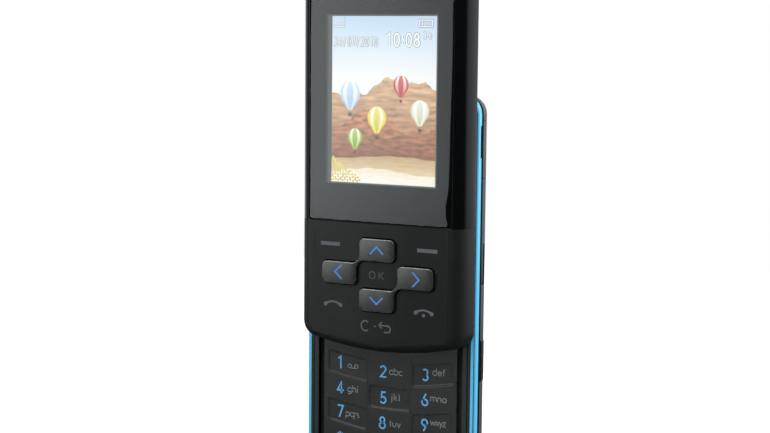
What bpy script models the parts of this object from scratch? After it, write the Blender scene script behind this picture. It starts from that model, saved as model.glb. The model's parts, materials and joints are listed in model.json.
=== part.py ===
# A slider phone, standing on its lower end with the slider pushed up.
# Metres, +Z up along the phone, -Y to the front, +X to the right of someone who looks at the keys.
# The base is the back half with the keypad, and the slider is the front half with the display.
import math

import bmesh
import bpy
from mathutils import Matrix, Vector

for leftover in list(bpy.data.objects):
    bpy.data.objects.remove(leftover, do_unlink=True)

# Overall sizes. Heights are measured to the front from the parting plane, the keypad side of the base.
body_half_width = 0.02425
base_height = 0.1015
face_height = 0.0062
base_depth = 0.0086
end_bow = 0.0036
top_bow = 0.0010
upper_corner = 0.0045
slider_corner = 0.0030
foot_corner = 0.0030

# The slide: how far it goes, and the chin that it closes on.
slide_travel = 0.02935
chin_height = 0.0054
closing_gap = 0.00035
slide_gap = 0.0003

# Rounded edges: how wide and how deep each one is. The sides are rounded over all but a narrow straight edge.
side_round_width = 0.0046
side_straight_edge = 0.0003
end_round_width = 0.0018
end_round_depth = 0.0026
back_side_width = 0.0027
back_top_width = 0.0022
foot_round_width = 0.0012
round_level_shares = (0.0, 0.28, 0.52, 0.72, 0.86, 0.95, 1.0)

# Clearances.
seat_gap = 0.00012
key_gap = 0.00005
flank_gap = 0.00015
mat_gap = 0.0003
screw_gap = 0.00012
overrun = 0.0010
weld_distance = 0.000001
smallest_corner = 0.00005

# Walls of the shells.
shell_wall = 0.0011
shell_taper = 0.0013
slider_face_wall = 0.0018
lid_thickness = 0.0009
base_face_wall = 0.0011
back_wall = 0.0013

# Display window, display and earpiece.
window_side_margin = 0.00381
window_above_slider_low = 0.03295
window_end_margin = 0.00345
window_thickness = 0.0010
window_low_corner = 0.0007
window_high_corner = 0.0026
view_side_margin = 0.00454
view_low_margin = 0.00855
view_high_margin = 0.0067
view_corner = 0.0005
display_side_frame = 0.0015
display_frame = 0.0017
display_lid_space = 0.0008
ear_slot_below_top = 0.0053
ear_slot_half_width = 0.0048
ear_slot_height = 0.0013
ear_grille_thickness = 0.0008
ear_grille_hole_pitch = 0.0014
ear_grille_hole_radius = 0.00032
ear_grille_holes_a_side = 3
ear_duct_half_width = 0.0040
ear_duct_height = 0.0008
receiver_half_width = 0.0060
receiver_height = 0.0044
receiver_corner = 0.0016

# Function keys on the slider. Shares are of half the body's width.
pad_above_slider_low = 0.0199
pad_step_across_share = 0.4536
pad_key_half_width_share = 0.2062
pad_step_up = 0.0064
pad_key_half_height = 0.0028
pad_key_corner = 0.0013
pad_key_rise = 0.0008
pad_key_edge = 0.00035
pad_well_gap = 0.00035
pad_neck_radius = 0.0026
pad_neck_sink = 0.0001
ok_margin = 0.0001
ok_half_height = 0.0024
soft_across_share = 0.5732
soft_half_width_share = 0.1979
soft_up = 0.0073
soft_half_height = 0.0024
call_across_share = 0.5361
call_half_width_share = 0.1814
call_down = 0.0081
call_half_height = 0.0027
clear_half_width_share = 0.2309
clear_down = 0.0130
clear_half_height = 0.0023
flush_key_corner = 0.0011
function_sheet_side_margin = 0.00385
function_sheet_end_margin = 0.0043
function_sheet_thickness = 0.0010
board_thickness = 0.0008

# Slide mechanism.
rail_side_margin = 0.00565
rail_above_mat = 0.0011
rail_top_margin = 0.0029
rail_sheet = 0.00035
rail_lip = 0.0017
rail_depth = 0.00185
rail_front = 0.00035
carriage_foot_gap = 0.00035
carriage_foot_width = 0.0023
carriage_sheet = 0.0004
carriage_low_stop = 0.00075
carriage_high_stop = 0.0006
carriage_foot_height = -0.00125
pocket_gap = 0.00025
pocket_end_gap = 0.0003
pocket_floor = 0.0003
tub_wall = 0.0004

# Flat cable between the halves, and the assist spring.
cable_half_width = 0.0040
cable_thickness = 0.00014
cable_across = -0.0020
cable_above_rail_low = 0.0171
cable_above_carriage_low = 0.0020
cable_loop = 0.0060
cable_low_height = -0.00130
cable_high_height = -0.00048
cable_slot_gap = 0.0003
spring_wire = 0.00025
spring_side_margin = 0.0020
spring_width = 0.0068
spring_above_rail_low = 0.0121
spring_below_rail_high = 0.0056
spring_height = -0.00092
spring_bends = 7

# Base front: trim ring, keypad opening and keys.
trim_width = 0.0009
trim_depth = 0.0025
trim_edge = 0.00012
trim_groove_front = 0.00025
trim_groove_depth = 0.00040
trim_groove_back = 0.00105
trim_gap = 0.00012
case_split_gap = 0.0004
keypad_opening_side_margin = 0.00315
keypad_opening_above_chin = 0.00035
keypad_opening_overlap = 0.0012
keypad_opening_corner = 0.0008
keypad_groove = 0.0016
keypad_middle_share = 0.32564
keypad_sunk = 0.0002
key_thickness = 0.0008
key_rows_above_chin = 0.0007
key_rows_top_space = 0.00332
key_row_count = 4
first_row_overlap = 0.0008
key_outer_margin = 0.0013
key_side_margin = 0.0004
key_end_margin = 0.00035
pocket_depth = 0.00028
pocket_slope = 0.00022
pocket_corner = 0.0009
# how far the sides of a pocket reach in, as shares of its slope, and how deep they are there, as shares of its depth
pocket_rim_shares = ((-0.8, 0.0), (-0.35, 0.06), (0.0, 0.2), (0.75, 0.8), (1.3, 1.0), (1.8, 1.0))
key_corner = 0.0004
finger_dot_radius = 0.00045
finger_dot_rise = 0.00012
finger_dot_margin = 0.00085
mat_side_margin = 0.0008
mat_low_margin = 0.00055
mat_high_margin = 0.0025
mat_thickness = 0.0006
dome_sheet_side_margin = 0.0019
dome_sheet_low_margin = 0.0010
dome_sheet_high_margin = 0.0016
dome_sheet_thickness = 0.00025

# Main board and the parts on it, placed from the upper end of the base. The room is the space behind the board.
main_board_side_margin = 0.00285
main_board_low = 0.0058
main_board_top_margin = 0.0037
main_board_height = -0.0024
shield_left = 0.0045
shield_side_margin = 0.0019
shield_below_top = 0.0325
shield_length = 0.0115
shield_thickness = 0.0013
camera_across = 0.0
camera_below_top = 0.0147
camera_half_size = 0.0040
camera_block_share = 0.603
camera_barrel_radius = 0.0030
camera_back_gap = 0.00038
camera_window_radius = 0.0043
camera_window_thickness = 0.0006
camera_window_sunk = 0.00005
camera_hole_radius = 0.0034
speaker_side_margin = 0.00675
speaker_camera_gap = 0.0025
speaker_below_top = 0.0167
speaker_half_height = 0.0080
speaker_front_gap = 0.00046
speaker_corner = 0.0020
speaker_slot_side_margin = 0.0019
speaker_slot_height = 0.0007
speaker_slot_pitch = 0.0019
speaker_slots = 5
motor_side_margin = 0.00745
motor_length = 0.0100
motor_below_top = 0.0293
motor_back_gap = 0.00038
antenna_side_margin = 0.00705
antenna_below_top = 0.0080
antenna_height = 0.0047
antenna_back_gap = 0.00058
microphone_radius = 0.0012
microphone_up = 0.0036
microphone_thickness = 0.0009
microphone_hole_radius = 0.00035
connector_side_margin = 0.00205
connector_length = 0.0085
connector_below_top = 0.0195
connector_height = 0.0104
connector_thickness_share = 0.628
connector_wall = 0.0003
connector_depth = 0.0062

# Battery, its cover and the card holder.
bay_side_margin = 0.00565
bay_low = 0.0086
bay_below_top = 0.0351
bay_wall = 0.0006
bay_floor_front = 0.0034
bay_floor = 0.0004
battery_side_gap = 0.0005
battery_low_gap = 0.0004
battery_high_gap = 0.0104
battery_back_gap = 0.00028
battery_corner = 0.0012
holder_half_width = 0.0085
holder_battery_gap = 0.0014
holder_bay_gap = 0.0006
holder_thickness = 0.0012
cover_side_lap = 0.0019
cover_low_lap = 0.0023
cover_high_lap = 0.0012
cover_thickness = 0.0008
cover_corner = 0.0030
cover_gap = 0.00015
notch_half_width = 0.0040
notch_height = 0.0012
notch_depth = 0.0005

# Flank parts. Depths are measured to the back from the parting plane, and shares are of the base's height.
flank_bite = 0.00135
flank_rise = 0.0002
port_below_top = 0.0214
port_length = 0.0142
port_front = 0.0033
port_back_margin = 0.0010
recess_above_port_low = 0.0051
recess_length = 0.0080
recess_front = 0.0020
recess_back = 0.0036
recess_bite = 0.0006
side_key_middle_share = 0.57438
side_key_half_length = 0.0050
side_key_front = 0.0042
side_key_back_margin = 0.0022
side_key_sunk = 0.00030
side_key_slot_front = 0.0033
camera_key_middle_share = 0.333
camera_key_half_length = 0.0052
camera_key_front = 0.0042
camera_key_slot_front = 0.0035
camera_key_back_margin = 0.0018
volume_middle_share = 0.6798
volume_half_length = 0.0100
volume_front = 0.0042
volume_back_margin = 0.0018
flank_key_inner = 0.0027
flank_key_bevel = 0.00025

# Screws.
screw_radius = 0.00055
screw_head_radius = 0.00115
screw_head_height = 0.0006
screw_socket_radius = 0.0005
screw_socket_depth = 0.0003
boss_radius = 0.0017
counterbore_sunk = 0.0002
base_screw_side_margin_top = 0.00405
base_screw_below_top = 0.0058
base_screw_side_margin_foot = 0.00725
base_screw_up_foot = 0.0032
front_boss_radius = 0.0013
slider_screw_side_margin = 0.00465
slider_screw_above_base = 0.0045
slider_screw_length = 0.0022

# How finely round shapes are cut.
corner_steps = 5
bow_steps = 6
row_steps = 4
round_sides = 24
small_sides = 12
crease_angle = math.radians(30)

# Heights that follow from the sizes above.
parting_y = (face_height + pad_key_rise - base_depth) / 2
side_round_depth = face_height - slide_gap - side_straight_edge
lid_front = slide_gap + lid_thickness
slider_ceiling = face_height - slider_face_wall
window_seat = face_height - window_thickness - seat_gap
case_inset = trim_width + trim_gap
rear_front = -(trim_depth + case_split_gap)
front_wall_foot = rear_front + seat_gap
rear_ceiling = -(base_depth - back_wall)
back_round_depth = base_depth + rear_front
key_front = -keypad_sunk
key_back = key_front - key_thickness
mat_front = key_back - mat_gap
dome_sheet_front = mat_front - mat_thickness - seat_gap
board_back = main_board_height - board_thickness
parts_front = board_back - seat_gap
room = parts_front - rear_ceiling
flush_key_back = slider_ceiling + seat_gap
function_sheet_front = flush_key_back - mat_gap
function_board_front = function_sheet_front - function_sheet_thickness - seat_gap
display_front = slider_ceiling - mat_gap
display_thickness = display_front - lid_front - display_lid_space
bay_floor_back = -(bay_floor_front + bay_floor)
cover_front = -(base_depth - cover_thickness)
battery_thickness = bay_floor_back - seat_gap - battery_back_gap - cover_front
tub_back = -(rail_depth + seat_gap + pocket_floor)
camera_block_depth = room * camera_block_share
connector_thickness = room * connector_thickness_share
antenna_thickness = room - antenna_back_gap
speaker_thickness = room - speaker_front_gap - seat_gap
motor_radius = (room - motor_back_gap) / 2

# Places along the body that follow from the sizes above.
slider_low = chin_height + closing_gap + slide_travel
slider_high = base_height + slide_travel
window_low = slider_low + window_above_slider_low
window_high = slider_high - window_end_margin
view_low = window_low + view_low_margin
view_high = window_high - view_high_margin
pad_centre = slider_low + pad_above_slider_low
function_sheet_low = slider_low + function_sheet_end_margin
keypad_opening_low = chin_height + keypad_opening_above_chin
keypad_opening_high = slider_low + keypad_opening_overlap
key_rows_low = chin_height + key_rows_above_chin
key_pitch = (slider_low - key_rows_top_space - key_rows_low) / key_row_count
first_row_top = slider_low + first_row_overlap
mat_low = keypad_opening_low - mat_low_margin
mat_high = keypad_opening_high + mat_high_margin
dome_sheet_low = mat_low + dome_sheet_low_margin
dome_sheet_high = mat_high - dome_sheet_high_margin
rail_low = mat_high + rail_above_mat
rail_high = base_height - rail_top_margin
carriage_low = rail_low + slide_travel + carriage_low_stop
carriage_high = rail_high - carriage_high_stop
cable_base_end = rail_low + cable_above_rail_low
cable_slider_end = carriage_low + cable_above_carriage_low
cable_bend = cable_slider_end + cable_loop
spring_low = rail_low + spring_above_rail_low
spring_high = rail_high - spring_below_rail_high
main_board_high = base_height - main_board_top_margin
shield_low = base_height - shield_below_top
shield_high = shield_low + shield_length
camera_up = base_height - camera_below_top
speaker_up = base_height - speaker_below_top
motor_up = base_height - motor_below_top
antenna_low = base_height - antenna_below_top
antenna_high = antenna_low + antenna_height
connector_low = base_height - connector_below_top
connector_high = connector_low + connector_height
bay_high = base_height - bay_below_top
battery_low = bay_low + battery_low_gap
battery_high = bay_high - battery_high_gap
holder_low = battery_high + holder_battery_gap
holder_high = bay_high - holder_bay_gap
cover_low = bay_low - cover_low_lap
cover_high = bay_high + cover_high_lap
port_low = base_height - port_below_top
port_high = port_low + port_length
recess_low = port_low + recess_above_port_low
recess_high = recess_low + recess_length
side_key_low = base_height * side_key_middle_share - side_key_half_length
side_key_high = side_key_low + 2 * side_key_half_length
camera_key_low = base_height * camera_key_middle_share - camera_key_half_length
camera_key_high = camera_key_low + 2 * camera_key_half_length
volume_low = base_height * volume_middle_share - volume_half_length
volume_high = volume_low + 2 * volume_half_length
base_screw_up_top = base_height - base_screw_below_top
slider_screw_up = base_height + slider_screw_above_base

# Places across the body, and depths of the flank parts, that follow from the sizes above.
window_half_width = body_half_width - window_side_margin
view_half_width = window_half_width - view_side_margin
display_half_width = view_half_width + display_side_frame
pad_step_across = body_half_width * pad_step_across_share
pad_key_half_width = body_half_width * pad_key_half_width_share
ok_half_width = pad_key_half_width - ok_margin
soft_across = body_half_width * soft_across_share
soft_half_width = body_half_width * soft_half_width_share
call_across = body_half_width * call_across_share
call_half_width = body_half_width * call_half_width_share
clear_half_width = body_half_width * clear_half_width_share
function_sheet_half_width = body_half_width - function_sheet_side_margin
rail_half_width = body_half_width - rail_side_margin
carriage_half_width = rail_half_width - rail_sheet - carriage_foot_gap
carriage_leg = carriage_half_width - carriage_foot_width
spring_right = carriage_leg - spring_side_margin
spring_left = spring_right - spring_width
keypad_opening_half_width = body_half_width - keypad_opening_side_margin
keypad_half_width = keypad_opening_half_width - keypad_groove
keypad_middle_half_width = keypad_half_width * keypad_middle_share
mat_half_width = keypad_opening_half_width + mat_side_margin
dome_sheet_half_width = mat_half_width - dome_sheet_side_margin
main_board_half_width = body_half_width - main_board_side_margin
shield_right = main_board_half_width - shield_side_margin
speaker_left = body_half_width - speaker_side_margin
speaker_right = camera_half_size + speaker_camera_gap
speaker_across = -(speaker_left + speaker_right) / 2
speaker_half_width = (speaker_left - speaker_right) / 2
speaker_slot_half_width = speaker_half_width - speaker_slot_side_margin
motor_across = motor_length / 2 + motor_side_margin - body_half_width
antenna_half_width = body_half_width - antenna_side_margin
connector_outer = body_half_width - connector_side_margin
connector_inner = connector_outer - connector_length
bay_half_width = body_half_width - bay_side_margin
battery_half_width = bay_half_width - battery_side_gap
cover_half_width = bay_half_width + cover_side_lap
port_back = base_depth - port_back_margin
side_key_back = base_depth - side_key_back_margin
camera_key_back = base_depth - camera_key_back_margin
volume_back = base_depth - volume_back_margin
base_screw_across_top = body_half_width - base_screw_side_margin_top
base_screw_across_foot = body_half_width - base_screw_side_margin_foot
slider_screw_across = body_half_width - slider_screw_side_margin

parts = bpy.data.collections.new("slider_phone")
cutters = bpy.data.collections.new("cutters")
bpy.context.scene.collection.children.link(parts)
bpy.context.scene.collection.children.link(cutters)


# Materials.
def finish(name, colour, roughness, metallic=0.0):
    """A plain finish: its colour, how rough it is, and whether it is metal."""
    material = bpy.data.materials.new(name)
    material.use_nodes = True
    shader = material.node_tree.nodes["Principled BSDF"]
    shader.inputs["Base Color"].default_value = (*colour, 1.0)
    shader.inputs["Roughness"].default_value = roughness
    shader.inputs["Metallic"].default_value = metallic
    material.diffuse_color = (*colour, 1.0)
    return material


soft_black = finish("soft_touch_black", (0.022, 0.023, 0.023), 0.45)
gloss_black = finish("gloss_black", (0.016, 0.017, 0.018), 0.12)
glass = finish("tinted_window", (0.045, 0.048, 0.05), 0.06)
blue_trim = finish("blue_trim", (0.12, 0.50, 0.85), 0.25)
key_black = finish("key_black", (0.040, 0.044, 0.046), 0.35)
pad_grey = finish("nav_key_grey", (0.10, 0.11, 0.115), 0.22)
case_grey = finish("rear_case_grey", (0.070, 0.070, 0.070), 0.40)
rubber = finish("black_rubber", (0.012, 0.012, 0.012), 0.70)
steel = finish("sheet_steel", (0.55, 0.55, 0.54), 0.35, 1.0)
board_green = finish("circuit_board", (0.03, 0.16, 0.08), 0.45)
dark_plastic = finish("dark_plastic", (0.03, 0.03, 0.035), 0.5)
display_glass = finish("display_glass", (0.25, 0.30, 0.35), 0.15)
battery_grey = finish("battery_wrap", (0.22, 0.22, 0.23), 0.5)
amber_film = finish("amber_film", (0.45, 0.20, 0.04), 0.4)


# Shapes.
def level(height):
    """The Y of a height that is measured to the front from the parting plane."""
    return parting_y - height


def bow_at(across):
    """How far along its bow an end has risen at a place across the body: 0 in the middle, 1 at the side."""
    return (across / body_half_width) ** 2


def outline(left, right, low, high, low_corner, high_corner, low_bow=0.0, high_bow=0.0, steps=None):
    """A plate seen from the front, anticlockwise: straight sides, straight or bowed ends, four round corners."""
    steps = steps or bow_steps
    low_corner = max(low_corner, smallest_corner)
    high_corner = max(high_corner, smallest_corner)
    points = []

    def along(start, stop, edge, bow):
        for step in range(1, steps if bow else 1):
            across = start + (stop - start) * step / steps
            points.append((across, edge + bow * bow_at(across)))

    def corner(centre, radius, edge, bow, first, side):
        for step in range(corner_steps + 1):
            angle = math.radians(first + 90 * step / corner_steps)
            across = centre + radius * math.cos(angle)
            points.append((across, edge + bow * bow_at(across) + radius * (math.sin(angle) + side)))

    along(left + low_corner, right - low_corner, low, low_bow)
    corner(right - low_corner, low_corner, low, low_bow, -90, 1)
    corner(right - high_corner, high_corner, high, high_bow, 0, -1)
    along(right - high_corner, left + high_corner, high, high_bow)
    corner(left + high_corner, high_corner, high, high_bow, 90, -1)
    corner(left + low_corner, low_corner, low, low_bow, 180, 1)
    return points


def section(points, height):
    """The points of an outline, set at one height."""
    return [(x, level(height), z) for x, z in points]


def new_object(name, mesh, material=None):
    """Puts a mesh in the scene, as a part when it has a material and as a cutter when it has none."""
    mesh.shade_smooth()
    mesh.set_sharp_from_angle(angle=crease_angle)
    piece = bpy.data.objects.new(name, mesh)
    if material:
        mesh.materials.append(material)
        parts.objects.link(piece)
    else:
        cutters.objects.link(piece)
        piece.hide_render = True
        piece.display_type = "WIRE"
    return piece


def loft(name, sections, material=None, ring=False):
    """A solid skinned over sections with as many points each; a ring's last section meets its first."""
    shape = bmesh.new()
    rows = [[shape.verts.new(point) for point in points] for points in sections]
    pairs = list(zip(rows, rows[1:] + rows[:1])) if ring else list(zip(rows, rows[1:]))
    for near, far in pairs:
        for i in range(len(near)):
            j = (i + 1) % len(near)
            shape.faces.new((near[i], near[j], far[j], far[i]))
    if not ring:
        shape.faces.new(rows[0])
        shape.faces.new(rows[-1])
    bmesh.ops.recalc_face_normals(shape, faces=shape.faces)
    mesh = bpy.data.meshes.new(name)
    shape.to_mesh(mesh)
    shape.free()
    return new_object(name, mesh, material)


def flat_curve(name, points, thickness):
    """A filled outline with an even thickness."""
    curve = bpy.data.curves.new(name, "CURVE")
    curve.dimensions = "2D"
    curve.fill_mode = "BOTH"
    curve.extrude = thickness / 2
    line = curve.splines.new("POLY")
    line.points.add(len(points) - 1)
    for point, (along_x, along_y) in zip(line.points, points):
        point.co = (along_x, along_y, 0, 1)
    line.use_cyclic_u = True
    return bpy.data.objects.new(name + "_drawn", curve)


def as_mesh(drawn, name, material=None):
    """Turns a curve object into a mesh piece with welded caps, and removes the curve."""
    cutters.objects.link(drawn)
    bpy.context.view_layer.update()
    evaluated = drawn.evaluated_get(bpy.context.evaluated_depsgraph_get())
    mesh = bpy.data.meshes.new_from_object(evaluated)
    mesh.materials.clear()
    shape = bmesh.new()
    shape.from_mesh(mesh)
    bmesh.ops.remove_doubles(shape, verts=shape.verts, dist=weld_distance)
    bmesh.ops.recalc_face_normals(shape, faces=shape.faces)
    shape.to_mesh(mesh)
    shape.free()
    piece = new_object(name, mesh, material)
    piece.matrix_world = drawn.matrix_world.copy()
    bpy.data.objects.remove(drawn)
    return piece


def plate(name, points, front, back, material=None):
    """A flat piece of one outline between two heights."""
    drawn = flat_curve(name, points, front - back)
    drawn.rotation_euler = (math.radians(90), 0, 0)
    drawn.location = (0, level((front + back) / 2), 0)
    return as_mesh(drawn, name, material)


def block(name, left, right, front, back, low, high, material=None):
    """A straight box between two heights."""
    bpy.ops.mesh.primitive_cube_add(size=1)
    box = bpy.context.object
    mesh = box.data
    bpy.data.objects.remove(box)
    mesh.name = name
    for corner in mesh.vertices:
        x, y, z = corner.co
        corner.co = (left if x < 0 else right, level(front if y < 0 else back), low if z < 0 else high)
    return new_object(name, mesh, material)


def disc(name, across, up, radius, front, back, material=None, sides=None):
    """A round piece whose axis runs from front to back."""
    shape = bmesh.new()
    bmesh.ops.create_cone(
        shape, cap_ends=True, segments=sides or round_sides, radius1=radius, radius2=radius, depth=front - back
    )
    mesh = bpy.data.meshes.new(name)
    shape.to_mesh(mesh)
    shape.free()
    piece = new_object(name, mesh, material)
    piece.rotation_euler = (math.radians(90), 0, 0)
    piece.location = (across, level((front + back) / 2), up)
    return piece


def combine(piece, other, operation):
    """A Boolean of one piece with another."""
    step = piece.modifiers.new(operation.lower() + "_" + other.name, "BOOLEAN")
    step.operation = operation
    step.object = other
    step.solver = "EXACT"


def cut(piece, *others):
    for other in others:
        combine(piece, other, "DIFFERENCE")


def join(piece, *others):
    for other in others:
        combine(piece, other, "UNION")


def soften(piece, width, segments=1, angle=50):
    """Takes the sharp edges off."""
    bevel = piece.modifiers.new("soft_edges", "BEVEL")
    bevel.width = width
    bevel.segments = segments
    bevel.limit_method = "ANGLE"
    bevel.angle_limit = math.radians(angle)


def set_origin(piece, across, height, up):
    """Moves a piece's origin to a joint, and leaves the piece where it is."""
    place = Vector((across, level(height), up))
    piece.data.transform(Matrix.Translation(-place) @ piece.matrix_world)
    piece.matrix_world = Matrix.Translation(place)


def round_over(share, width):
    """How far a rounded edge has drawn in at a share of its depth."""
    return width * (1 - math.sqrt(max(0.0, 1 - share * share)))


# Outlines of the two halves.
def slider_outline(side_inset, end_inset):
    return outline(
        side_inset - body_half_width, body_half_width - side_inset, slider_low + end_inset,
        slider_high - end_inset, slider_corner - end_inset, upper_corner - end_inset, end_bow, -top_bow,
    )


def base_outline(side_inset, foot_inset, top_inset):
    return outline(
        side_inset - body_half_width, body_half_width - side_inset, foot_inset,
        base_height - top_inset, foot_corner - foot_inset, upper_corner - top_inset, 0.0, -top_bow,
    )


def end_inset_at(height):
    """How far the rounded ends have drawn in at a height of the slider or the chin."""
    share = (height - (face_height - end_round_depth)) / end_round_depth
    return round_over(max(0.0, share), end_round_width)


# Slider.
def slider_front_case():
    levels = [face_height - side_round_depth * (1 - share) for share in round_level_shares]
    sections = [section(slider_outline(0.0, 0.0), slide_gap)]
    for share, height in zip(round_level_shares, levels):
        sections.append(section(slider_outline(round_over(share, side_round_width), end_inset_at(height)), height))
    inner_rim = section(slider_outline(shell_wall, shell_wall), slide_gap)
    inner_top = section(slider_outline(shell_wall + shell_taper, shell_wall), slider_ceiling)
    case = loft("slider_front_case", [inner_top, inner_rim] + sections, soft_black)
    for side in (-1, 1):
        place = (side * slider_screw_across, slider_screw_up)
        join(case, disc("slider_boss", *place, boss_radius, (slider_ceiling + window_seat) / 2, lid_front + seat_gap))
        cut(case, disc(
            "slider_boss_hole", *place, screw_radius + screw_gap,
            slide_gap + slider_screw_length + screw_head_height + mat_gap, slide_gap, sides=small_sides,
        ))
    window_bed = outline(
        -window_half_width - seat_gap, window_half_width + seat_gap, window_low - seat_gap,
        window_high + seat_gap, window_low_corner, window_high_corner, 0.0, -top_bow,
    )
    cut(case, plate("window_bed", window_bed, face_height + overrun, window_seat))
    view = outline(
        -view_half_width, view_half_width, view_low, view_high, view_corner, view_corner
    )
    cut(case, plate("view_opening", view, window_seat + overrun, slider_ceiling - overrun))
    ear_up = slider_high - ear_slot_below_top
    cut(case, block(
        "ear_duct", -ear_duct_half_width, ear_duct_half_width, window_seat + overrun,
        slider_ceiling - overrun, ear_up - ear_duct_height / 2, ear_up + ear_duct_height / 2,
    ))
    for name, across, up, half_width, half_height in flush_keys():
        hole = flush_key_outline(across, up, half_width + key_gap, half_height + key_gap)
        cut(case, plate(name + "_opening", hole, face_height + overrun, slider_ceiling - overrun))
    for name, cells in pad_pairs():
        for hole in pad_shapes(name + "_well", cells, face_height + overrun, slider_ceiling - overrun, pad_well_gap):
            cut(case, hole)
    return case


def display_window():
    shape = outline(
        -window_half_width, window_half_width, window_low, window_high,
        window_low_corner, window_high_corner, 0.0, -top_bow,
    )
    window = plate("display_window", shape, face_height, face_height - window_thickness, glass)
    soften(window, trim_edge)
    ear_up = slider_high - ear_slot_below_top
    slot = outline(
        -ear_slot_half_width, ear_slot_half_width, ear_up - ear_slot_height / 2,
        ear_up + ear_slot_height / 2, ear_slot_height / 2, ear_slot_height / 2,
    )
    cut(window, plate("ear_slot", slot, face_height + overrun, slider_ceiling))
    return window


def earpiece_grille():
    ear_up = slider_high - ear_slot_below_top
    half_height = ear_slot_height / 2 - seat_gap
    half_width = ear_slot_half_width - seat_gap
    shape = outline(
        -half_width, half_width, ear_up - half_height, ear_up + half_height, half_height, half_height,
    )
    back = window_seat + seat_gap
    grille = plate("earpiece_grille", shape, back + ear_grille_thickness, back, steel)
    for place in range(-ear_grille_holes_a_side, ear_grille_holes_a_side + 1):
        cut(grille, disc(
            "ear_hole", place * ear_grille_hole_pitch, ear_up, ear_grille_hole_radius,
            face_height + overrun, slider_ceiling, sides=small_sides // 2,
        ))
    return grille


def display_module():
    low = view_low - display_frame
    high = view_high + display_frame
    back = display_front - display_thickness
    module = block("display_module", -display_half_width, display_half_width, display_front, back, low, high,
                   display_glass)
    soften(module, trim_edge)
    return module


def earpiece_receiver():
    low = view_high + display_frame + mat_gap
    shape = outline(
        -receiver_half_width, receiver_half_width, low, low + receiver_height,
        receiver_corner, receiver_corner,
    )
    return plate("earpiece_receiver", shape, display_front, display_front - display_thickness, dark_plastic)


def flush_keys():
    """Name, place and size of each key that lies flush with the slider's face."""
    return (
        ("soft_key_left", -soft_across, pad_centre + soft_up, soft_half_width, soft_half_height),
        ("soft_key_right", soft_across, pad_centre + soft_up, soft_half_width, soft_half_height),
        ("send_key", -call_across, pad_centre - call_down, call_half_width, call_half_height),
        ("end_key", call_across, pad_centre - call_down, call_half_width, call_half_height),
        ("clear_key", 0.0, pad_centre - clear_down, clear_half_width, clear_half_height),
        ("ok_key", 0.0, pad_centre, ok_half_width, ok_half_height),
    )


def flush_key_outline(across, up, half_width, half_height):
    return outline(
        across - half_width, across + half_width, up - half_height, up + half_height,
        flush_key_corner, flush_key_corner,
    )


def flush_key(name, across, up, half_width, half_height):
    shape = flush_key_outline(across, up, half_width, half_height)
    key = plate(name, shape, face_height, flush_key_back, soft_black)
    set_origin(key, across, face_height, up)
    return key


def pad_pairs():
    """The two navigation keys: each is two cells of a cross, across and up from its centre."""
    return (
        ("nav_key_up_left", ((0, 1), (-1, 0))),
        ("nav_key_right_down", ((1, 0), (0, -1))),
    )


def pad_shapes(name, cells, front, back, growth, material=None):
    """The solids of a navigation key, grown by a gap: its two cells and the neck between them.

    With a material, the first cell is the key itself.
    """
    shapes = []
    centres = [(column * pad_step_across, pad_centre + row * pad_step_up) for column, row in cells]
    for number, (across, up) in enumerate(centres):
        half_width = pad_key_half_width + growth
        half_height = pad_key_half_height + growth
        corner = pad_key_corner + growth
        shape = outline(
            across - half_width, across + half_width, up - half_height, up + half_height,
            corner, corner,
        )
        if material and number == 0:
            shapes.append(plate(name, shape, front, back, material))
        else:
            shapes.append(plate(f"{name}_cell_{number}", shape, front, back))
    shapes.append(plate(name + "_neck", neck_outline(cells, growth), front, back))
    return shapes


def neck_outline(cells, growth):
    """The neck between two cells that stand corner to corner: two hollow arcs that end inside the cells."""
    radius = pad_neck_radius
    reach = pad_neck_radius - pad_neck_sink
    beside = pad_step_across - pad_key_half_width
    points = []
    for centre_across, centre_up, first in (
        (-pad_key_half_width - reach, pad_key_half_height + reach, -90),
        (-beside + reach, pad_step_up - pad_key_half_height - reach, 90),
    ):
        for step in range(corner_steps + 1):
            angle = math.radians(first + 90 * step / corner_steps)
            across = centre_across + (radius - growth) * math.cos(angle)
            up = centre_up + (radius - growth) * math.sin(angle)
            points.append((across, up))
    turn = 1 if cells[0] == (0, 1) else -1
    return [(turn * across, pad_centre + turn * up) for across, up in points]


def nav_key(name, cells):
    """A navigation key: its cells and neck in one moulding, with its origin on its tilt axis."""
    front = face_height + pad_key_rise
    key, second, neck = pad_shapes(name, cells, front, flush_key_back, 0.0, pad_grey)
    join(key, second, neck)
    soften(key, pad_key_edge, segments=2)
    middle_across = sum(column for column, row in cells) * pad_step_across / 2
    middle_up = pad_centre + sum(row for column, row in cells) * pad_step_up / 2
    set_origin(key, middle_across, flush_key_back, middle_up)
    return key


def function_key_sheet():
    high = window_low - seat_gap
    back = function_sheet_front - function_sheet_thickness
    sheet = block(
        "function_key_sheet", -function_sheet_half_width, function_sheet_half_width,
        function_sheet_front, back, function_sheet_low, high, rubber,
    )
    return sheet


def function_board():
    high = view_low - display_frame - mat_gap
    board = block(
        "function_board", -function_sheet_half_width, function_sheet_half_width, function_board_front,
        function_board_front - board_thickness, function_sheet_low, high, board_green,
    )
    return board


def cable_slot(name, up, front, back):
    """An opening for the flat cable."""
    half = cable_half_width + cable_slot_gap
    return block(
        name, cable_across - half, cable_across + half, front, back,
        up - cable_slot_gap - cable_thickness / 2, up + cable_slot_gap + cable_thickness / 2,
    )


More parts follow.
